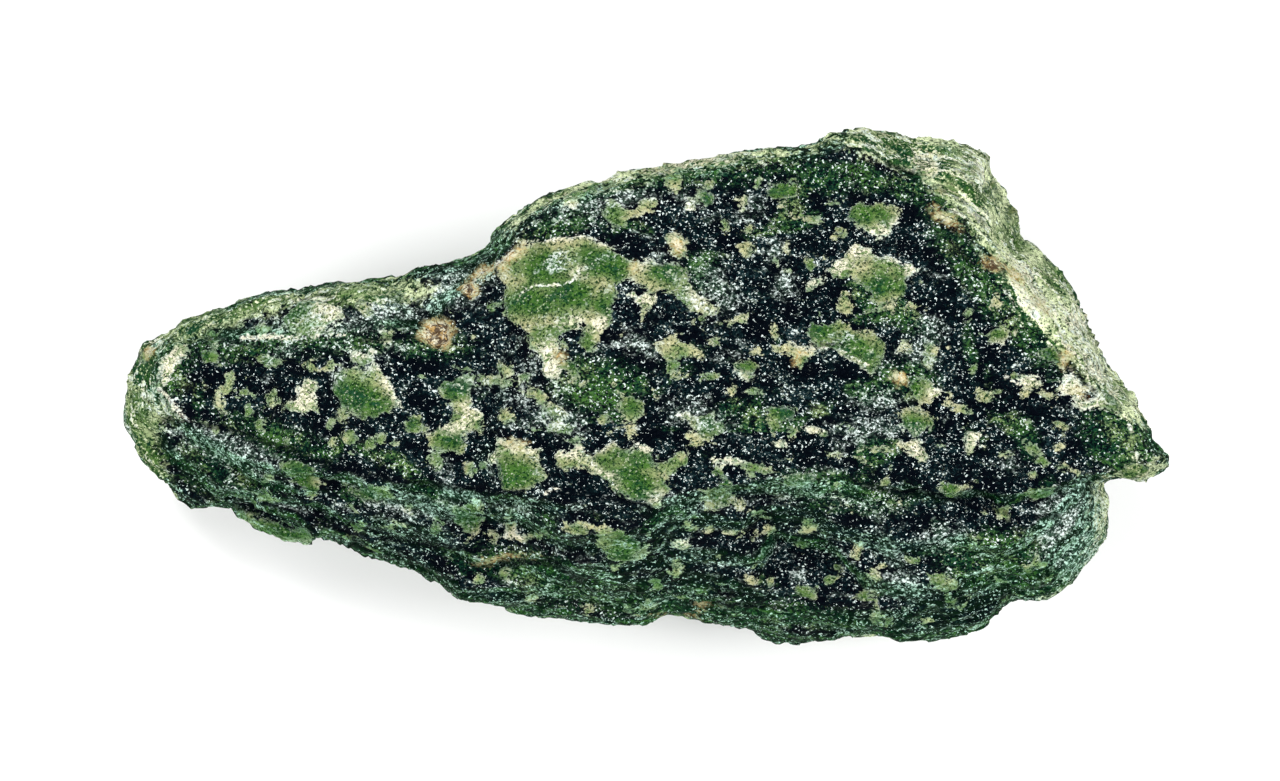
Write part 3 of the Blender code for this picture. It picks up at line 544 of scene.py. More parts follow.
def srgb(red, green, blue):
    """A colour given as 0 to 255 values, as the linear colour that a shader takes."""
    shares = [c / 255 for c in (red, green, blue)]
    return (*[c / 12.92 if c <= 0.04045 else ((c + 0.055) / 1.055) ** 2.4 for c in shares], 1.0)


def length(name, description, default):
    return FloatProperty(
        name=name, description=description, default=default, min=0.0, unit="LENGTH", precision=6
    )


def colour(name, description, default):
    return FloatVectorProperty(
        name=name, description=description, default=default, size=4, min=0.0, max=1.0, subtype="COLOR"
    )


class JadeShape(bpy.types.PropertyGroup):
    """How the broken surface is roughened."""

    mesh_size: length("Mesh size", "Edge of the fine mesh", 0.00047)
    smoothing: IntProperty(
        name="Smoothing", description="Passes that round the block's facets", default=3, min=0, max=50
    )
    mottle_height: length("Mottle height", "How far a pale mottle stands proud", 0.00028)
    chip_height: length("Chip height", "Height of the broken chips", 0.0004)
    layer_height: length("Layer height", "Height of the layers' edges on the flanks", 0.0004)
    grain_height: length("Grain height", "Height of the coarse grain", 0.00017)
    crease_depth: length("Crease depth", "Depth of the creases below the ridges", 0.00045)
    pit_depth: length("Pit depth", "Depth of the rusty pits", 0.0005)


class JadeColours(bpy.types.PropertyGroup):
    """The colours of the jade."""

    ground: colour("Ground", "Near-black ground", srgb(1, 4, 11))
    teal: colour("Teal", "Green-black of the ground", srgb(10, 38, 40))
    slate: colour("Slate", "Blue-grey grains of the ground", srgb(46, 64, 70))
    emerald: colour("Emerald", "Deep green ground", srgb(16, 62, 44))
    green: colour("Green", "Heart of a green mottle", srgb(68, 106, 44))
    pale_green: colour("Pale green", "Outer part of a green mottle", srgb(140, 160, 108))
    # painted sheen: the slope colour is paler than the stone's own pale green, standing in for the light on
    # the bevels that face the lamps
    slope: colour("Slope", "Pale green of the broken slopes", srgb(230, 240, 192))
    cream: colour("Cream", "Rim of a mottle", srgb(242, 236, 210))
    buff: colour("Buff", "Warm grains of a rim", srgb(180, 178, 134))
    frost: colour("Frost", "Whitish bloom and pale grains", srgb(226, 240, 235))
    haze: colour("Haze", "Thin green-grey veil under the bloom", srgb(86, 120, 98))
    film: colour("Film", "Green tinge of the flanks", srgb(222, 255, 238))
    moss: colour("Moss", "Dark grains of a mottle", srgb(14, 48, 20))
    ochre: colour("Ochre", "Stain along cracks", srgb(196, 160, 98))
    rust: colour("Rust", "Floor of the rusty pits", srgb(62, 36, 14))


class JadeStage(bpy.types.PropertyGroup):
    """The floor, the lights and the camera."""

    floor_colour: colour("Floor", "Plain pale floor", (0.94, 0.94, 0.94, 1.0))
    floor_width: length("Floor width", "Width of the floor", 8.0)
    key_power: FloatProperty(name="Key power", description="Main light", default=8.0, min=0, unit="POWER")
    fill_power: FloatProperty(name="Fill power", description="Side lights", default=6.0, min=0, unit="POWER")
    right_power: FloatProperty(
        name="Right power", description="Light on the slope", default=9.0, min=0, unit="POWER"
    )
    sky: FloatProperty(name="Sky", description="Strength of the even light", default=0.38, min=0)
    distance: length("Distance", "Camera above the stone's girdle", 1.5)
    view_width: length("View width", "Width seen at the girdle", 0.14723)


def dotted(points, slopes):
    return (points * slopes).sum(axis=1)


def noise(points, wavelength, seed):
    """Smooth gradient noise, about -1 to 1, at points in millimetres."""
    rng = np.random.default_rng(seed)
    order = rng.permutation(256)
    slopes = rng.normal(size=(256, 3))
    slopes /= np.linalg.norm(slopes, axis=1)[:, None]
    spot = points / wavelength + rng.uniform(0, 99, 3)
    cell = np.floor(spot).astype(int)
    part = spot - cell
    fade = part**3 * (part * (part * 6 - 15) + 10)
    total = np.zeros(len(points))
    for corner in itertools.product((0, 1), repeat=3):
        at = (cell + corner) & 255
        key = order[(order[(order[at[:, 0]] + at[:, 1]) & 255] + at[:, 2]) & 255]
        weight = np.prod(np.where(corner, fade, 1 - fade), axis=1)
        total += weight * dotted(part - corner, slopes[key])
    return total * 1.6


def fractal(points, wavelength, seed, octaves):
    return sum(noise(points, wavelength / 2**i, seed + i) / 2**i for i in range(octaves))


def chips(points, width, seed):
    """Tilted facets, one for each cell of a jumbled lattice, about -1 to 1."""
    rng = np.random.default_rng(seed)
    order = rng.permutation(256)
    jitter = rng.uniform(0.1, 0.9, (256, 3))
    tilt = rng.normal(size=(256, 3))
    spot = points / width
    cell = np.floor(spot).astype(int)
    nearest = np.full(len(points), np.inf)
    height = np.zeros(len(points))
    for step in itertools.product((-1, 0, 1), repeat=3):
        at = cell + step
        wrap = at & 255
        key = order[(order[(order[wrap[:, 0]] + wrap[:, 1]) & 255] + wrap[:, 2]) & 255]
        away = spot - (at + jitter[key])
        distance = dotted(away, away)
        closer = distance < nearest
        nearest = np.where(closer, distance, nearest)
        height = np.where(closer, dotted(away, tilt[key]), height)
    return np.clip(height, -1, 1)


def ramp(values, low, high):
    """0 below low, 1 above high and smooth between."""
    share = np.clip((values - low) / (high - low), 0, 1)
    return share * share * (3 - 2 * share)


def inside_ovals(points, ovals):
    """How deep each point lies in the nearest oval, in millimetres: below 0 outside."""
    deepest = np.full(len(points), -9.0)
    for x, y, long, wide, turn in ovals:
        angle = math.radians(turn)
        dx, dy = points[:, 0] - x, points[:, 1] - y
        along = (dx * math.cos(angle) + dy * math.sin(angle)) / long
        across = (dy * math.cos(angle) - dx * math.sin(angle)) / wide
        deepest = np.maximum(deepest, (1 - np.hypot(along, across)) * min(long, wide))
    return deepest


def gap_to(points, start, end):
    """Distance from each point to one straight stretch, seen from above."""
    start, run = np.array(start), np.array(end) - np.array(start)
    away = points[:, :2] - start
    share = np.clip(away @ run / (run @ run), 0, 1)
    return np.linalg.norm(away - share[:, None] * run, axis=1)


def inside_veins(points, veins):
    deepest = np.full(len(points), -9.0)
    for x1, y1, x2, y2, half in veins:
        deepest = np.maximum(deepest, half - gap_to(points, (x1, y1), (x2, y2)))
    return deepest


def inside_outline(points, outline):
    """How deep each point lies in a closed outline, in millimetres: below 0 outside, -3 far off."""
    low, high = np.min(outline, axis=0) - 3, np.max(outline, axis=0) + 3
    depth = np.full(len(points), -3.0)
    near = ((points[:, :2] > low) & (points[:, :2] < high)).all(axis=1)
    spot = points[near]
    gap = np.full(len(spot), 9.0)
    within = np.zeros(len(spot), bool)
    for start, end in zip(outline, outline[1:] + outline[:1]):
        gap = np.minimum(gap, gap_to(spot, start, end))
        crosses = (start[1] > spot[:, 1]) != (end[1] > spot[:, 1])
        if start[1] != end[1]:
            slope = (end[0] - start[0]) / (end[1] - start[1])
            within ^= crosses & (spot[:, 0] < start[0] + (spot[:, 1] - start[1]) * slope)
    depth[near] = np.where(within, gap, np.maximum(-gap, -3.0))
    return depth


def inside_outlines(points, outlines):
    return np.max([inside_outline(points, outline) for outline in outlines.values()], axis=0)


def deselect_all():
    for other in bpy.context.selected_objects:
        other.select_set(False)


def choose(piece):
    deselect_all()
    piece.select_set(True)
    bpy.context.view_layer.objects.active = piece


def fine_copy(shape):
    """A closed fine copy of the block, with its facets rounded."""
    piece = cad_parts[NODE].copy()
    piece.data = piece.data.copy()
    for key in list(piece.keys()):
        del piece[key]
    piece.name = piece.data.name = STONE
    piece.parent = None
    piece.data.materials.clear()
    bpy.context.scene.collection.objects.link(piece)
    choose(piece)
    bpy.ops.object.mode_set(mode="EDIT")
    bpy.ops.mesh.select_all(action="SELECT")
    bpy.ops.mesh.remove_doubles(threshold=0.000001)
    bpy.ops.object.mode_set(mode="OBJECT")
    bpy.ops.object.modifier_add(type="REMESH")
    remesh = piece.modifiers[-1]
    remesh.mode = "VOXEL"
    remesh.voxel_size = shape.mesh_size
    bpy.ops.object.modifier_apply(modifier=remesh.name)
    bpy.ops.object.modifier_add(type="SMOOTH")
    smooth = piece.modifiers[-1]
    smooth.iterations = shape.smoothing
    bpy.ops.object.modifier_apply(modifier=smooth.name)
    bpy.ops.object.shade_smooth()
    return piece


def read_points(mesh):
    points = np.zeros(len(mesh.vertices) * 3)
    normals = np.zeros(len(mesh.vertices) * 3)
    mesh.vertices.foreach_get("co", points)
    mesh.vertices.foreach_get("normal", normals)
    return points.reshape(-1, 3) / MM, normals.reshape(-1, 3)


def flow(points, normals):
    """Coordinates that run round the stone and across its layers, in millimetres.

    The first two follow a long loop inside the stone. The third rises over the flanks and slopes.
    """
    start, run = np.array(SPINE[0]), np.array(SPINE[1]) - np.array(SPINE[0])
    share = np.clip((points[:, :2] - start) @ run / (run @ run), 0, 1)
    away = points[:, :2] - (start + share[:, None] * run)
    reach = np.linalg.norm(away, axis=1) + 0.001
    loop = start + share[:, None] * run + away / reach[:, None] * LOOP_REACH
    middle = start + run / 2
    turn = np.degrees(np.arctan2(loop[:, 1] - middle[1], loop[:, 0] - middle[0]))
    slot = ((turn + 180) / SECTOR).astype(int) % SECTORS
    furthest = np.zeros(SECTORS)
    np.maximum.at(furthest, slot, reach)
    furthest = sum(np.roll(furthest, i) for i in range(-2, 3)) / 5
    middles = (np.arange(SECTORS) + 0.5) * SECTOR - 180
    girdle = np.interp(turn, middles, furthest, period=360)
    inset = np.maximum(girdle - reach, 0) * np.clip(normals[:, 2] * 3, -1, 1)
    return np.column_stack((loop, points[:, 2] + inset * INSET_RISE))


def as_drawn(points):
    """Where the points lie in the drawing of the markings, which is made from above."""
    eye = np.array(EYE)
    spread = (eye[2] - GIRDLE_HEIGHT) / (eye[2] - points[:, 2])
    drawn = points.copy()
    drawn[:, :2] = (points[:, :2] - eye[:2]) * spread[:, None] * DRAWN_SCALE + DRAWN_SHIFT
    return drawn


def markings(points, normals):
    """The named fields of the markings, one value for each vertex, in millimetres inside."""
    warp = np.stack([fractal(points, 2.4, 11 + 7 * i, 2) for i in range(2)], axis=1)
    drawn = as_drawn(points)
    spot = drawn.copy()
    spot[:, :2] += warp * 0.4
    above = ramp(normals[:, 2], -0.15, 0.2)
    below = 1 - above
    steep = ramp(-normals[:, 2], -0.55, -0.15)
    along = flow(points, normals)
    flat = along * np.array((1.0, 1.0, 2.0))
    hidden = -4 * below

    wild = fractal(flat, 9.0, 41, 3) * 4.2 - 1.5
    small = (fractal(points, 2.6, 57, 2) - 0.75) * 2.2
    mottle = np.maximum(inside_outlines(spot, MOTTLES), inside_ovals(spot, SMALL_MOTTLES))
    mottle = np.minimum(mottle, -inside_ovals(spot, NOTCHES))
    wild_emerald = fractal(flat, 10.0, 83, 3) * 5.0
    wild_frost = fractal(flat, 8.0, 97, 3) * 3.0 - 1.2
    wild_slope = fractal(flat, 15.0, 103, 3) * 6.0 - 1.5
    slope = inside_outlines(spot, PALE_SLOPES) * above + wild_slope * below
    emerald = np.maximum(inside_ovals(spot, EMERALD_GROUND), wild_emerald - 2.4)

    slim = drawn
    slim[:, :2] += warp * 0.2
    return {
        "mottle": np.maximum(mottle, small) * above + np.maximum(wild, small) * below,
        "heart": inside_ovals(spot, HEARTS) * above + (wild - 1.0) * below,
        "cream": inside_ovals(spot, CREAM) * above + (wild_frost - wild * 0.4) * below,
        "emerald": emerald * above + (wild_emerald + 0.2) * below + steep * ramp(-slope, 0, 1) * 3,
        "frost": np.maximum(inside_ovals(spot, FROST), wild_frost - 0.6) * above + wild_frost * below,
        "slope": slope,
        "ochre": inside_ovals(spot, OCHRE_STAINS) + hidden,
        "rust": inside_ovals(slim, RUST_PITS) + hidden,
        "vein": inside_veins(slim, VEINS) + hidden,
        "crease": inside_veins(slim, CREASES) + hidden,
        "side": ramp(1 - np.abs(normals[:, 2]), 0.1, 0.34),
        "lush": ramp(-points[:, 0], 5, 45),
        "flow": along,
    }


def roughen(points, normals, fields, shape):
    """Moves the vertices along their normals: chips, layers, mottles, grain and pits."""
    side = fields["side"]
    wander = np.stack([noise(points, 9.0, 5 + i) for i in range(3)], axis=1)
    along = fields["flow"] + wander * 0.8
    splinters = chips(along * np.array((0.45, 0.45, 1.1)), 2.2, 21) * 0.5
    splinters += chips(along * np.array((0.6, 0.6, 1.3)), 1.2, 23) * 0.5
    patches = ramp(noise(points, 12.0, 24), -0.5, 0.4)
    layers = np.abs(noise(along * np.array((0.25, 0.25, 1.0)), 2.2, 22)) * 2 - 0.6
    break_up = chips(points + wander, 6.0, 31) * 0.6 + chips(points, 2.4, 32) * 0.4
    raised = ramp(fields["mottle"], -0.2, 0.3)
    grain = noise(points, 1.7, 61) * 0.6 + noise(points, 1.05, 62) * 0.7
    move = (0.4 + 0.4 * side) * break_up * shape.chip_height
    move += side * (splinters + patches * layers * 0.35) * shape.layer_height
    move += raised * (1 - 0.4 * side) * shape.mottle_height
    move += grain * (1.15 - 0.5 * raised) * shape.grain_height
    move -= ramp(fields["crease"], -0.5, 0.25) * shape.crease_depth
    move -= ramp(fields["rust"], -0.25, 0.3) * shape.pit_depth
    return points + normals * (move / MM)[:, None]


def keep_in_box(points):
    low, high = (np.array(corner) / MM for corner in CAD_BOX)
    return np.clip(points, low, high)


def set_fields(mesh, fields):
    for name, values in fields.items():
        many = values.ndim > 1
        attribute = mesh.attributes.new(name, "FLOAT_VECTOR" if many else "FLOAT", "POINT")
        attribute.data.foreach_set("vector" if many else "value", values.astype(np.float32).ravel())


class Wire:
    """A number that flows between shader nodes. Sums and products of wires add Math nodes."""

    def __init__(self, nodes, socket):
        self.nodes = nodes
        self.socket = socket

    def math(self, operation, *others, clamp=False):
        return self.nodes.make(
            "ShaderNodeMath", {"operation": operation, "use_clamp": clamp}, [self, *others]
        )

    def __add__(self, other):
        return self.math("ADD", other)

    def __mul__(self, other):
        return self.math("MULTIPLY", other)

    def __sub__(self, other):
        return self.math("SUBTRACT", other)

    def __rsub__(self, other):
        return self.nodes.make("ShaderNodeMath", {"operation": "SUBTRACT"}, [other, self])

    __radd__ = __add__
    __rmul__ = __mul__

    def ramp(self, low, high):
        """0 below low, 1 above high and smooth between."""
        return self.nodes.make(
            "ShaderNodeMapRange",
            {"interpolation_type": "SMOOTHSTEP"},
            {"Value": self, "From Min": low, "From Max": high},
        )


class Nodes:
    """Makes the nodes of one material and links them."""

    def __init__(self, material):
        material.use_nodes = True
        self.tree = material.node_tree
        self.surface = self.tree.nodes["Principled BSDF"]

    def make(self, kind, settings, values, output=0):
        """A node of that kind with its settings, and its sockets set or linked by name or in order."""
        node = self.tree.nodes.new(kind)
        for name, value in settings.items():
            setattr(node, name, value)
        pairs = values.items() if isinstance(values, dict) else enumerate(values)
        for key, value in pairs:
            self.put(node.inputs[key], value)
        return Wire(self, node.outputs[output])

    def put(self, socket, value):
        if isinstance(value, Wire):
            self.tree.links.new(value.socket, socket)
        else:
            socket.default_value = value

    def field(self, name, output="Fac"):
        return self.make("ShaderNodeAttribute", {"attribute_name": name}, {}, output)

    def mix(self, share, a, b, blend="MIX"):
        settings = {"data_type": "RGBA", "blend_type": blend}
        return self.make("ShaderNodeMix", settings, {0: share, 6: a, 7: b}, 2)

    def noise(self, place, wavelength, detail=2.0):
        """Noise about 0, mostly within half a unit either side."""
        made = self.make(
            "ShaderNodeTexNoise", {}, {"Vector": place, "Scale": 1 / wavelength, "Detail": detail}
        )
        return made - 0.5

    def cells(self, place, width):
        """Distance from the middle of a grain, and the grain's own random number."""
        tint = self.make("ShaderNodeTexVoronoi", {}, {"Vector": place, "Scale": 1 / width}, "Color")
        distance = Wire(self, tint.socket.node.outputs["Distance"])
        return SimpleNamespace(distance=distance, chance=self.make("ShaderNodeSeparateColor", {}, [tint]))

    def scaled(self, place, factors):
        return self.make("ShaderNodeVectorMath", {"operation": "MULTIPLY"}, [place, factors])

    def shifted(self, place, by):
        return self.make("ShaderNodeVectorMath", {"operation": "ADD"}, [place, by])


def stone_grain(nodes):
    """The patterns that the colours share, from 9 mm to 0.2 mm wide, each a number about 0."""
    coordinates = nodes.make("ShaderNodeTexCoord", {}, {}, "Object")
    place = nodes.scaled(coordinates, (1 / MM, 1 / MM, 1 / MM))
    wander = nodes.make("ShaderNodeTexNoise", {}, {"Vector": place, "Scale": 1.3, "Detail": 2.0}, "Color")
    wander = nodes.scaled(wander, (0.8, 0.8, 0.8))
    turned = nodes.make(
        "ShaderNodeMapping",
        {},
        {"Vector": nodes.shifted(place, wander), "Rotation": (0, 0, GRAIN_TURN), "Scale": GRAIN_STRETCH},
    )
    layered = nodes.shifted(nodes.field("flow", "Vector"), wander)
    lumps, crumbs, specks = nodes.cells(turned, 0.8), nodes.cells(turned, 0.36), nodes.cells(place, 0.22)
    dashes = nodes.cells(nodes.scaled(layered, (0.33, 0.33, 0.8)), 0.5)
    dust = nodes.noise(turned, 0.22, 1.0)
    grit = nodes.noise(turned, 0.36, 1.0)
    rag = nodes.noise(turned, 1.1, 4.0)
    return SimpleNamespace(
        turned=turned,
        broad=nodes.noise(place, 9.0, 2.0),
        tint=nodes.noise(place, 3.6, 1.0),
        drift=nodes.noise(turned, 3.2, 2.0),
        rag=rag,
        grit=grit,
        dust=dust,
        crumbs=crumbs.chance - 0.5,
        fine=(specks.chance - 0.5) * 0.7 + dust * 0.9,
        seams=nodes.noise(nodes.scaled(layered, (0.35, 0.35, 1.2)), 1.0, 3.0),
        dashes=dashes.chance - 0.5,
        threads=nodes.noise(nodes.scaled(layered, (0.45, 0.45, 1.0)), 1.7, 2.0).math("ABSOLUTE"),
        cracks=nodes.noise(nodes.scaled(layered, (0.3, 0.3, 1.0)), 2.6, 2.0).math("ABSOLUTE"),
        side=nodes.field("side"),
        edge=rag * 1.1 + (lumps.chance - 0.5) * 0.45 + grit * 0.7,
        relief=crumbs.distance * 0.35 + lumps.distance * 0.3,
    )


def ground_tone(nodes, grain, colours):
    """The near-black and deep green ground."""
    light = grain.rag + grain.drift * 1.6 + grain.grit * 0.8 + grain.fine * 0.6
    tone = nodes.mix(light.ramp(-0.3, 0.7), colours.ground, colours.teal)
    tone = nodes.mix((light + grain.fine * 0.6).ramp(0.1, 0.9) * 0.8, tone, colours.slate)
    emerald = (nodes.field("emerald") + grain.edge * 1.4 + grain.broad * 1.2).ramp(-0.9, 1.1)
    light = grain.rag * 0.9 + grain.grit * 0.8 + grain.crumbs * 0.4 + grain.fine * 0.7
    deep = nodes.mix(light.ramp(-0.55, 0.25), tone, colours.emerald)
    deep = nodes.mix((light + grain.drift * 1.5).ramp(-0.3, 0.6), deep, colours.green)
    deep = nodes.mix((light + grain.tint * 2).ramp(0.15, 0.85), deep, colours.pale_green)
    return nodes.mix(emerald, tone, deep)


def slope_tone(nodes, grain, colours):
    """The pale green slopes, partly their own colour and partly a painted sheen where the bevels face the
    light: green hearts, dark green and white patches, and dashes along the layers.
    """
    lush = nodes.field("lush")
    broken = grain.rag * 0.8 + grain.grit * 0.6 + grain.fine * 0.4
    streaks = broken + grain.drift * 0.6 + grain.seams + grain.dashes * 0.75
    ragged = grain.edge * 1.4 + grain.seams * 1.5
    dark = nodes.mix((broken + grain.drift).ramp(-0.35, 0.35), colours.emerald, colours.green)
    pale = nodes.mix(lush * 0.65, colours.slope, colours.pale_green)
    broad = grain.tint * 2.5 + grain.drift
    pale = nodes.mix((broad - broken * 0.3).ramp(-0.1, 0.4) * 0.75, pale, colours.pale_green)
    pale = nodes.mix((broad - broken + lush * 0.3).ramp(0.15, 0.7) * 0.75, pale, colours.green)
    heart = (nodes.field("heart") + ragged).ramp(-0.6, 0.7)
    pale = nodes.mix(heart * (0.4 - streaks).ramp(-0.3, 0.2) * 0.85, pale, colours.green)
    deep = (nodes.field("emerald") + ragged).ramp(-0.4, 1.2)
    tone = nodes.mix((streaks - deep * 0.9 - lush * 0.15).ramp(-0.65, -0.3), dark, pale)
    white = (nodes.field("cream") + ragged).ramp(-0.9, 0.9)
    white = (streaks + white * 0.5 - lush * 0.15).ramp(0.2, 0.4)
    return nodes.mix(white * 0.95, tone, nodes.mix(grain.rag.ramp(-0.1, 0.2), colours.cream, colours.frost))


def mottle_tone(nodes, grain, colours):
    """A mottle's green heart, its pale outer part and its rim, which turns cream."""
    rag, grit, crumbs, fine = grain.rag, grain.grit, grain.crumbs, grain.fine
    cream = (nodes.field("cream") + grain.edge * 1.2).ramp(-0.5, 0.6)
    warm = grain.tint * 2 + rag + crumbs * 0.3 + fine * 0.4 - nodes.field("lush") * 0.3
    warm = warm.ramp(-0.3, 0.35)
    outer = nodes.mix(warm, colours.pale_green, colours.buff)
    green = (grain.drift * 1.4 - grain.tint * 1.6 - rag * 0.8 + fine * 0.3).ramp(-0.25, 0.35)
    outer = nodes.mix(green * 0.8, outer, colours.green)
    outer = nodes.mix(cream * (crumbs + grit * 1.2).ramp(-0.5, 0.2), outer, colours.cream)
    heart = (nodes.field("heart") + rag * 1.8 + grain.drift * 1.2 + grit * 0.7).ramp(-1.2, 0.6)
    light = grit + rag * 1.4 + grain.tint * 1.2
    inner = nodes.mix((light + fine * 0.4).ramp(0.15, 0.9), colours.green, colours.pale_green)
    shade = grain.drift * 1.4 - light - crumbs * 0.4 - fine * 0.6
    inner = nodes.mix(shade.ramp(-0.1, 0.45) * 0.9, inner, colours.emerald)
    tone = nodes.mix(heart, outer, inner)
    tone = nodes.mix((grit - fine - cream * 0.2).ramp(0.05, 0.4) * 0.8, tone, colours.moss)
    rim = (nodes.field("mottle") + grain.edge).ramp(0.4, 0.0) * (cream * 0.7 + 0.3)
    return nodes.mix(rim * 0.6, tone, colours.frost)


def scatter_grains(nodes, grain, colours, tone, mottle, slope):
    """Frost, pale grains and painted glints, threads, cracks and painted shade in the grain's hollows,
    thickest where they drift together.
    """
    pale_share = mottle + slope - mottle * slope
    lush = nodes.field("lush")
    bloom = (nodes.field("frost") + grain.edge * 1.8).ramp(-0.5, 1.5)
    frosty = (grain.rag + grain.grit + grain.crumbs * 0.4 + grain.fine).ramp(-0.1, 0.4)
    veil = nodes.mix(frosty, colours.haze, colours.frost)
    tone = nodes.mix(bloom * (frosty * 0.55 + 0.3), tone, veil)

    thick = grain.drift * 0.8 + grain.rag * 0.8 + bloom * 0.12 + grain.seams * grain.side * 0.5
    warm = grain.drift + grain.tint - lush * 0.4
    sage = nodes.mix(warm.ramp(0.0, 0.3), colours.pale_green, colours.buff)
    cool = nodes.mix(grain.side, colours.slate, colours.haze)
    sage = nodes.mix((1 - pale_share) * (0.4 + grain.side * 0.3), sage, cool)
    for width, least, strength in ((0.62, 1.08, 0.8), (0.38, 0.98, 0.9), (0.24, 0.94, 0.95)):
        grains = nodes.cells(grain.turned, width)
        share = thick + grains.chance
        spots = share.ramp(least, least + 0.2) * (1 - (grains.distance + grain.grit * 0.4).ramp(0.3, 0.55))
        bright = nodes.mix(share.ramp(least + 0.02, least + 0.24), sage, colours.frost)
        tone = nodes.mix(spots * (1 - pale_share * 0.75) * strength, tone, bright)
    dashes = (grain.dashes + grain.seams + grain.fine * 0.5).ramp(0.35, 0.55) * grain.side
    tone = nodes.mix(dashes * 0.75, tone, nodes.mix(grain.crumbs.ramp(-0.2, 0.3), sage, colours.frost))

    streaky = (grain.side + slope * 0.6).ramp(0.0, 1.2)
    threads = (grain.threads + grain.grit * 0.06).ramp(0.045, 0.012)
    threads = threads * (grain.rag + grain.tint).ramp(-0.05, 0.2) * streaky
    fibre = nodes.mix(slope, colours.frost, colours.cream)
    fibre = nodes.mix((grain.grit + grain.fine).ramp(-0.1, 0.3), sage, fibre)
    tone = nodes.mix(threads * (0.6 + slope * (0.3 - lush * 0.4)), tone, fibre)

    pepper = (nodes.cells(grain.turned, 0.3).chance + grain.dust * 0.8 - thick * 0.6).ramp(0.65, 0.85)
    dark = nodes.mix((pale_share + grain.side * 0.4).ramp(0.0, 1.0), colours.ground, colours.moss)
    tone = nodes.mix(pepper * (1 - pale_share * 0.65) * 0.85, tone, dark)
    # painted shade: the grain's low spots, where the bump sinks, darkened towards the ground colour as if
    # shaded, most on the flanks
    shade_and_cracks = grain.rag * 0.5 + grain.grit + grain.crumbs * 0.3 + grain.seams * grain.side * 1.2
    shade_and_cracks = shade_and_cracks.ramp(-0.05, -0.4) * (grain.side * 0.6 + 0.2)
    cracks = (grain.cracks + grain.grit * 0.08).ramp(0.045, 0.01)
    cracks = cracks * (grain.drift - grain.rag).ramp(-0.2, 0.1) * streaky
    # thin dark cracks along the layers join the painted shade
    shade_and_cracks = shade_and_cracks.math("MAXIMUM", cracks * 1.2)
    tone = nodes.mix(shade_and_cracks * (1 - pale_share * 0.5), tone, dark)
    light = grain.fine + grain.grit * 0.4 + thick * 0.3
    pale = nodes.mix(mottle * 0.6, nodes.mix(slope, colours.frost, colours.slope), colours.buff)
    # pale grain specks, partly brightened into painted glints that stand in for specular highlights off the
    # crystals
    specks_and_glints = (light + slope * 0.06).ramp(0.34, 0.42) * (0.9 - slope * 0.3 - mottle * 0.35)
    tone = nodes.mix(specks_and_glints, tone, pale)
    tone = nodes.mix((light - pale_share * 0.04).ramp(-0.2, -0.34) * 0.85, tone, dark)
    return nodes.mix(grain.side * (1 - slope * 0.9), tone, colours.film, "MULTIPLY")


def veins_and_stains(nodes, grain, colours, tone):
    """White veins, painted shade in the creases, ochre along cracks and rust in the pits."""
    rag, grit = grain.rag, grain.grit
    vein = (nodes.field("vein") + grit * 0.6 + rag * 0.3).ramp(-0.1, 0.1)
    white = nodes.mix(rag.ramp(-0.15, 0.15), colours.frost, colours.cream)
    tone = nodes.mix(vein * (grain.dust + grit).ramp(-0.3, 0.1) * 0.85, tone, white)
    # painted shade: the creases under the ridges are darkened towards the near-black ground colour
    crease = (nodes.field("crease") + grit * 0.5 + rag * 0.5).ramp(-0.15, 0.15)
    tone = nodes.mix(crease * 0.75, tone, colours.ground)
    ochre = (nodes.field("ochre") + grain.edge).ramp(-0.4, 0.5)
    bleached = nodes.mix(nodes.field("ochre").ramp(0.0, 0.9), colours.buff, colours.cream)
    stain = (grain.crumbs * 0.6 + rag * 1.5 + grit + grain.fine * 0.5).ramp(-0.45, 0.2)
    stain = nodes.mix(stain, colours.ochre, bleached)
    tone = nodes.mix(ochre * (grit + grain.dust).ramp(-0.45, 0.0) * 0.85, tone, stain)
    rust = (nodes.field("rust") + grain.crumbs * 0.6 + grit * 0.7).ramp(-0.12, 0.08)
    return nodes.mix(rust * 0.9, tone, colours.rust)


def jade_material(colours):
    material = bpy.data.materials.new("raw_jade")
    nodes = Nodes(material)
    grain = stone_grain(nodes)
    mottle = (nodes.field("mottle") + grain.edge).ramp(-0.06, 0.06)
    # the pale slopes: partly their own pale green, partly a painted sheen on the bevels that face the light
    slope = (nodes.field("slope") + grain.edge * 2.4 + grain.seams * 2).ramp(-0.7, 0.8)
    tone = nodes.mix(slope, ground_tone(nodes, grain, colours), slope_tone(nodes, grain, colours))
    tone = nodes.mix(mottle, tone, mottle_tone(nodes, grain, colours))
    tone = scatter_grains(nodes, grain, colours, tone, mottle, slope)
    tone = veins_and_stains(nodes, grain, colours, tone)
    height = grain.rag * 0.8 + grain.grit * 0.9 + grain.dust * 0.7 + mottle * 0.3 - grain.relief
    bump = nodes.make("ShaderNodeBump", {}, {"Strength": 0.9, "Distance": 0.4 * MM, "Height": height})
    surface = nodes.surface
    nodes.put(surface.inputs["Base Color"], tone)
    nodes.put(surface.inputs["Roughness"], 0.5 + mottle * 0.1 + grain.grit * 0.3)
    nodes.put(surface.inputs["Normal"], bump)
    surface.inputs["Specular IOR Level"].default_value = 0.02
    surface.inputs["IOR"].default_value = 1.5
    material.diffuse_color = colours.emerald
    return material


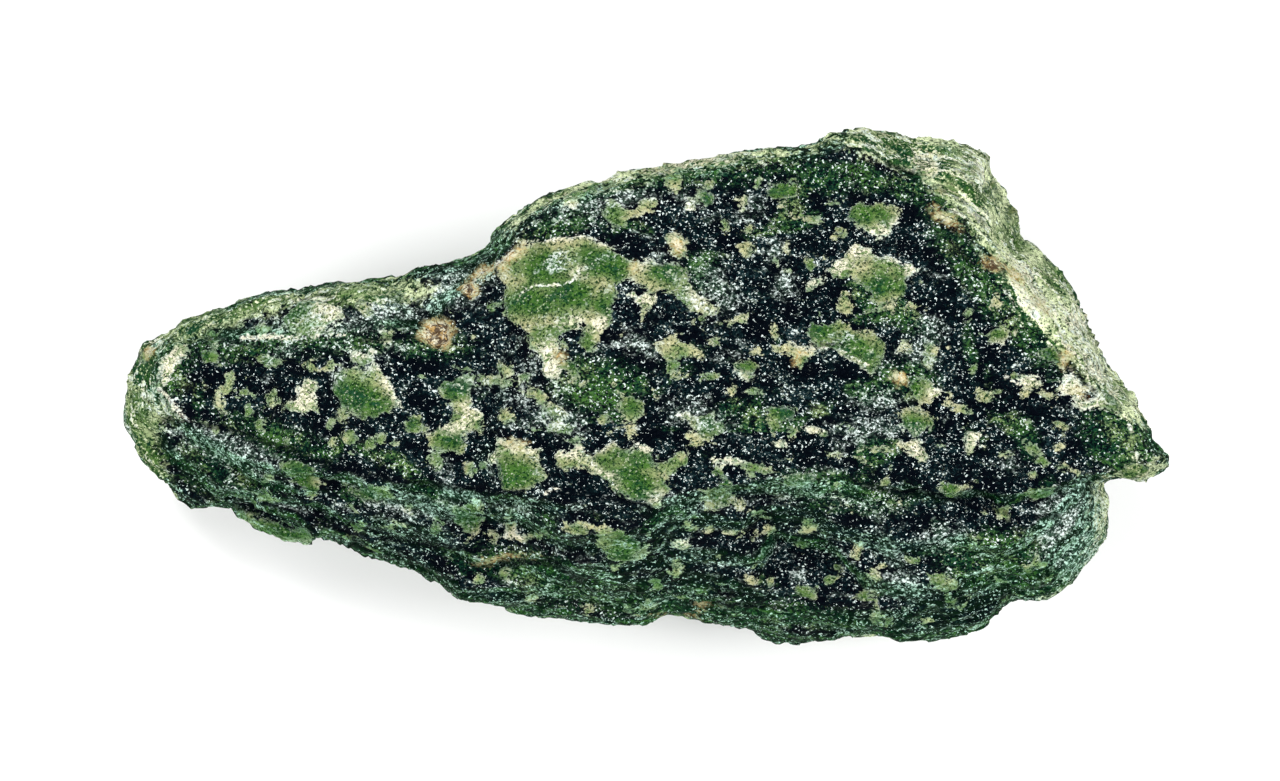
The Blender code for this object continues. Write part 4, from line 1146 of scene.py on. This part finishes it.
class JADE_OT_stone(bpy.types.Operator):
    """Roughen a fine copy of the block and give it its jade markings"""

    bl_idname = "jade.stone"
    bl_label = "Jade Stone"

    def execute(self, context):
        shape = context.scene.jade_shape
        piece = fine_copy(shape)
        points, normals = read_points(piece.data)
        fields = markings(points, normals)
        moved = keep_in_box(roughen(points, normals, fields, shape))
        piece.data.vertices.foreach_set("co", (moved * MM).ravel())
        piece.data.update()
        set_fields(piece.data, fields)
        piece.data.materials.append(jade_material(context.scene.jade_colours))
        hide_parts(NODE)
        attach(piece, "root")
        return {"FINISHED"}


def area_light(name, place, width, power):
    data = bpy.data.lights.new(name, "AREA")
    data.shape = "SQUARE"
    data.size = width
    data.energy = power
    light = bpy.data.objects.new(name, data)
    light.location = place
    light.rotation_euler = Vector(place).to_track_quat("Z", "Y").to_euler()
    bpy.context.scene.collection.objects.link(light)


def floor_material(stage):
    material = bpy.data.materials.new("pale_floor")
    nodes = Nodes(material)
    nodes.surface.inputs["Base Color"].default_value = stage.floor_colour
    nodes.surface.inputs["Roughness"].default_value = 0.9
    nodes.surface.inputs["Specular IOR Level"].default_value = 0.1
    return material


class JADE_OT_stage(bpy.types.Operator):
    """Lay a plain pale floor and set the lights and the camera"""

    bl_idname = "jade.stage"
    bl_label = "Plain Stage"

    def execute(self, context):
        stage = context.scene.jade_stage
        deselect_all()
        bpy.ops.mesh.primitive_plane_add(size=stage.floor_width, location=(0, 0, 0))
        floor = context.active_object
        floor.name = "floor"
        floor.data.materials.append(floor_material(stage))
        area_light("key_light", (-0.35, 0.65, 0.95), 0.45, stage.key_power)
        area_light("left_light", (-0.8, -0.15, 0.85), 0.6, stage.fill_power)
        area_light("right_light", (0.8, 0.1, 0.85), 0.6, stage.right_power)
        area_light("near_light", (0.15, -0.8, 0.9), 0.7, stage.fill_power)
        world = bpy.data.worlds.new("studio")
        world.use_nodes = True
        background = world.node_tree.nodes["Background"]
        background.inputs["Color"].default_value = (1.0, 1.0, 1.0, 1.0)
        background.inputs["Strength"].default_value = stage.sky
        context.scene.world = world
        context.scene.view_settings.view_transform = "Standard"
        camera_data = bpy.data.cameras.new("camera")
        camera_data.sensor_width = 36.0
        camera_data.lens = camera_data.sensor_width * stage.distance / stage.view_width
        camera_data.clip_end = 20.0
        camera = bpy.data.objects.new("camera", camera_data)
        camera.location = (EYE[0] * MM, EYE[1] * MM, GIRDLE_HEIGHT * MM + stage.distance)
        context.scene.collection.objects.link(camera)
        context.scene.camera = camera
        return {"FINISHED"}


class JADE_PT_panel(bpy.types.Panel):
    """The boulder's steps and settings"""

    bl_label = "Raw Jade"
    bl_idname = "JADE_PT_panel"
    bl_space_type = "VIEW_3D"
    bl_region_type = "UI"
    bl_category = "Raw Jade"

    def draw(self, context):
        for group, operator in (
            ("jade_shape", None),
            ("jade_colours", JADE_OT_stone.bl_idname),
            ("jade_stage", JADE_OT_stage.bl_idname),
        ):
            settings = getattr(context.scene, group)
            for name in settings.__annotations__:
                self.layout.prop(settings, name)
            if operator:
                self.layout.operator(operator)


CLASSES = (JadeShape, JadeColours, JadeStage, JADE_OT_stone, JADE_OT_stage, JADE_PT_panel)


def register():
    for cls in CLASSES:
        bpy.utils.register_class(cls)
    bpy.types.Scene.jade_shape = PointerProperty(type=JadeShape)
    bpy.types.Scene.jade_colours = PointerProperty(type=JadeColours)
    bpy.types.Scene.jade_stage = PointerProperty(type=JadeStage)


def unregister():
    del bpy.types.Scene.jade_shape, bpy.types.Scene.jade_colours, bpy.types.Scene.jade_stage
    for cls in reversed(CLASSES):
        bpy.utils.unregister_class(cls)


def main():
    register()
    bpy.ops.jade.stone()
    bpy.ops.jade.stage()


if __name__ == "__main__":
    main()
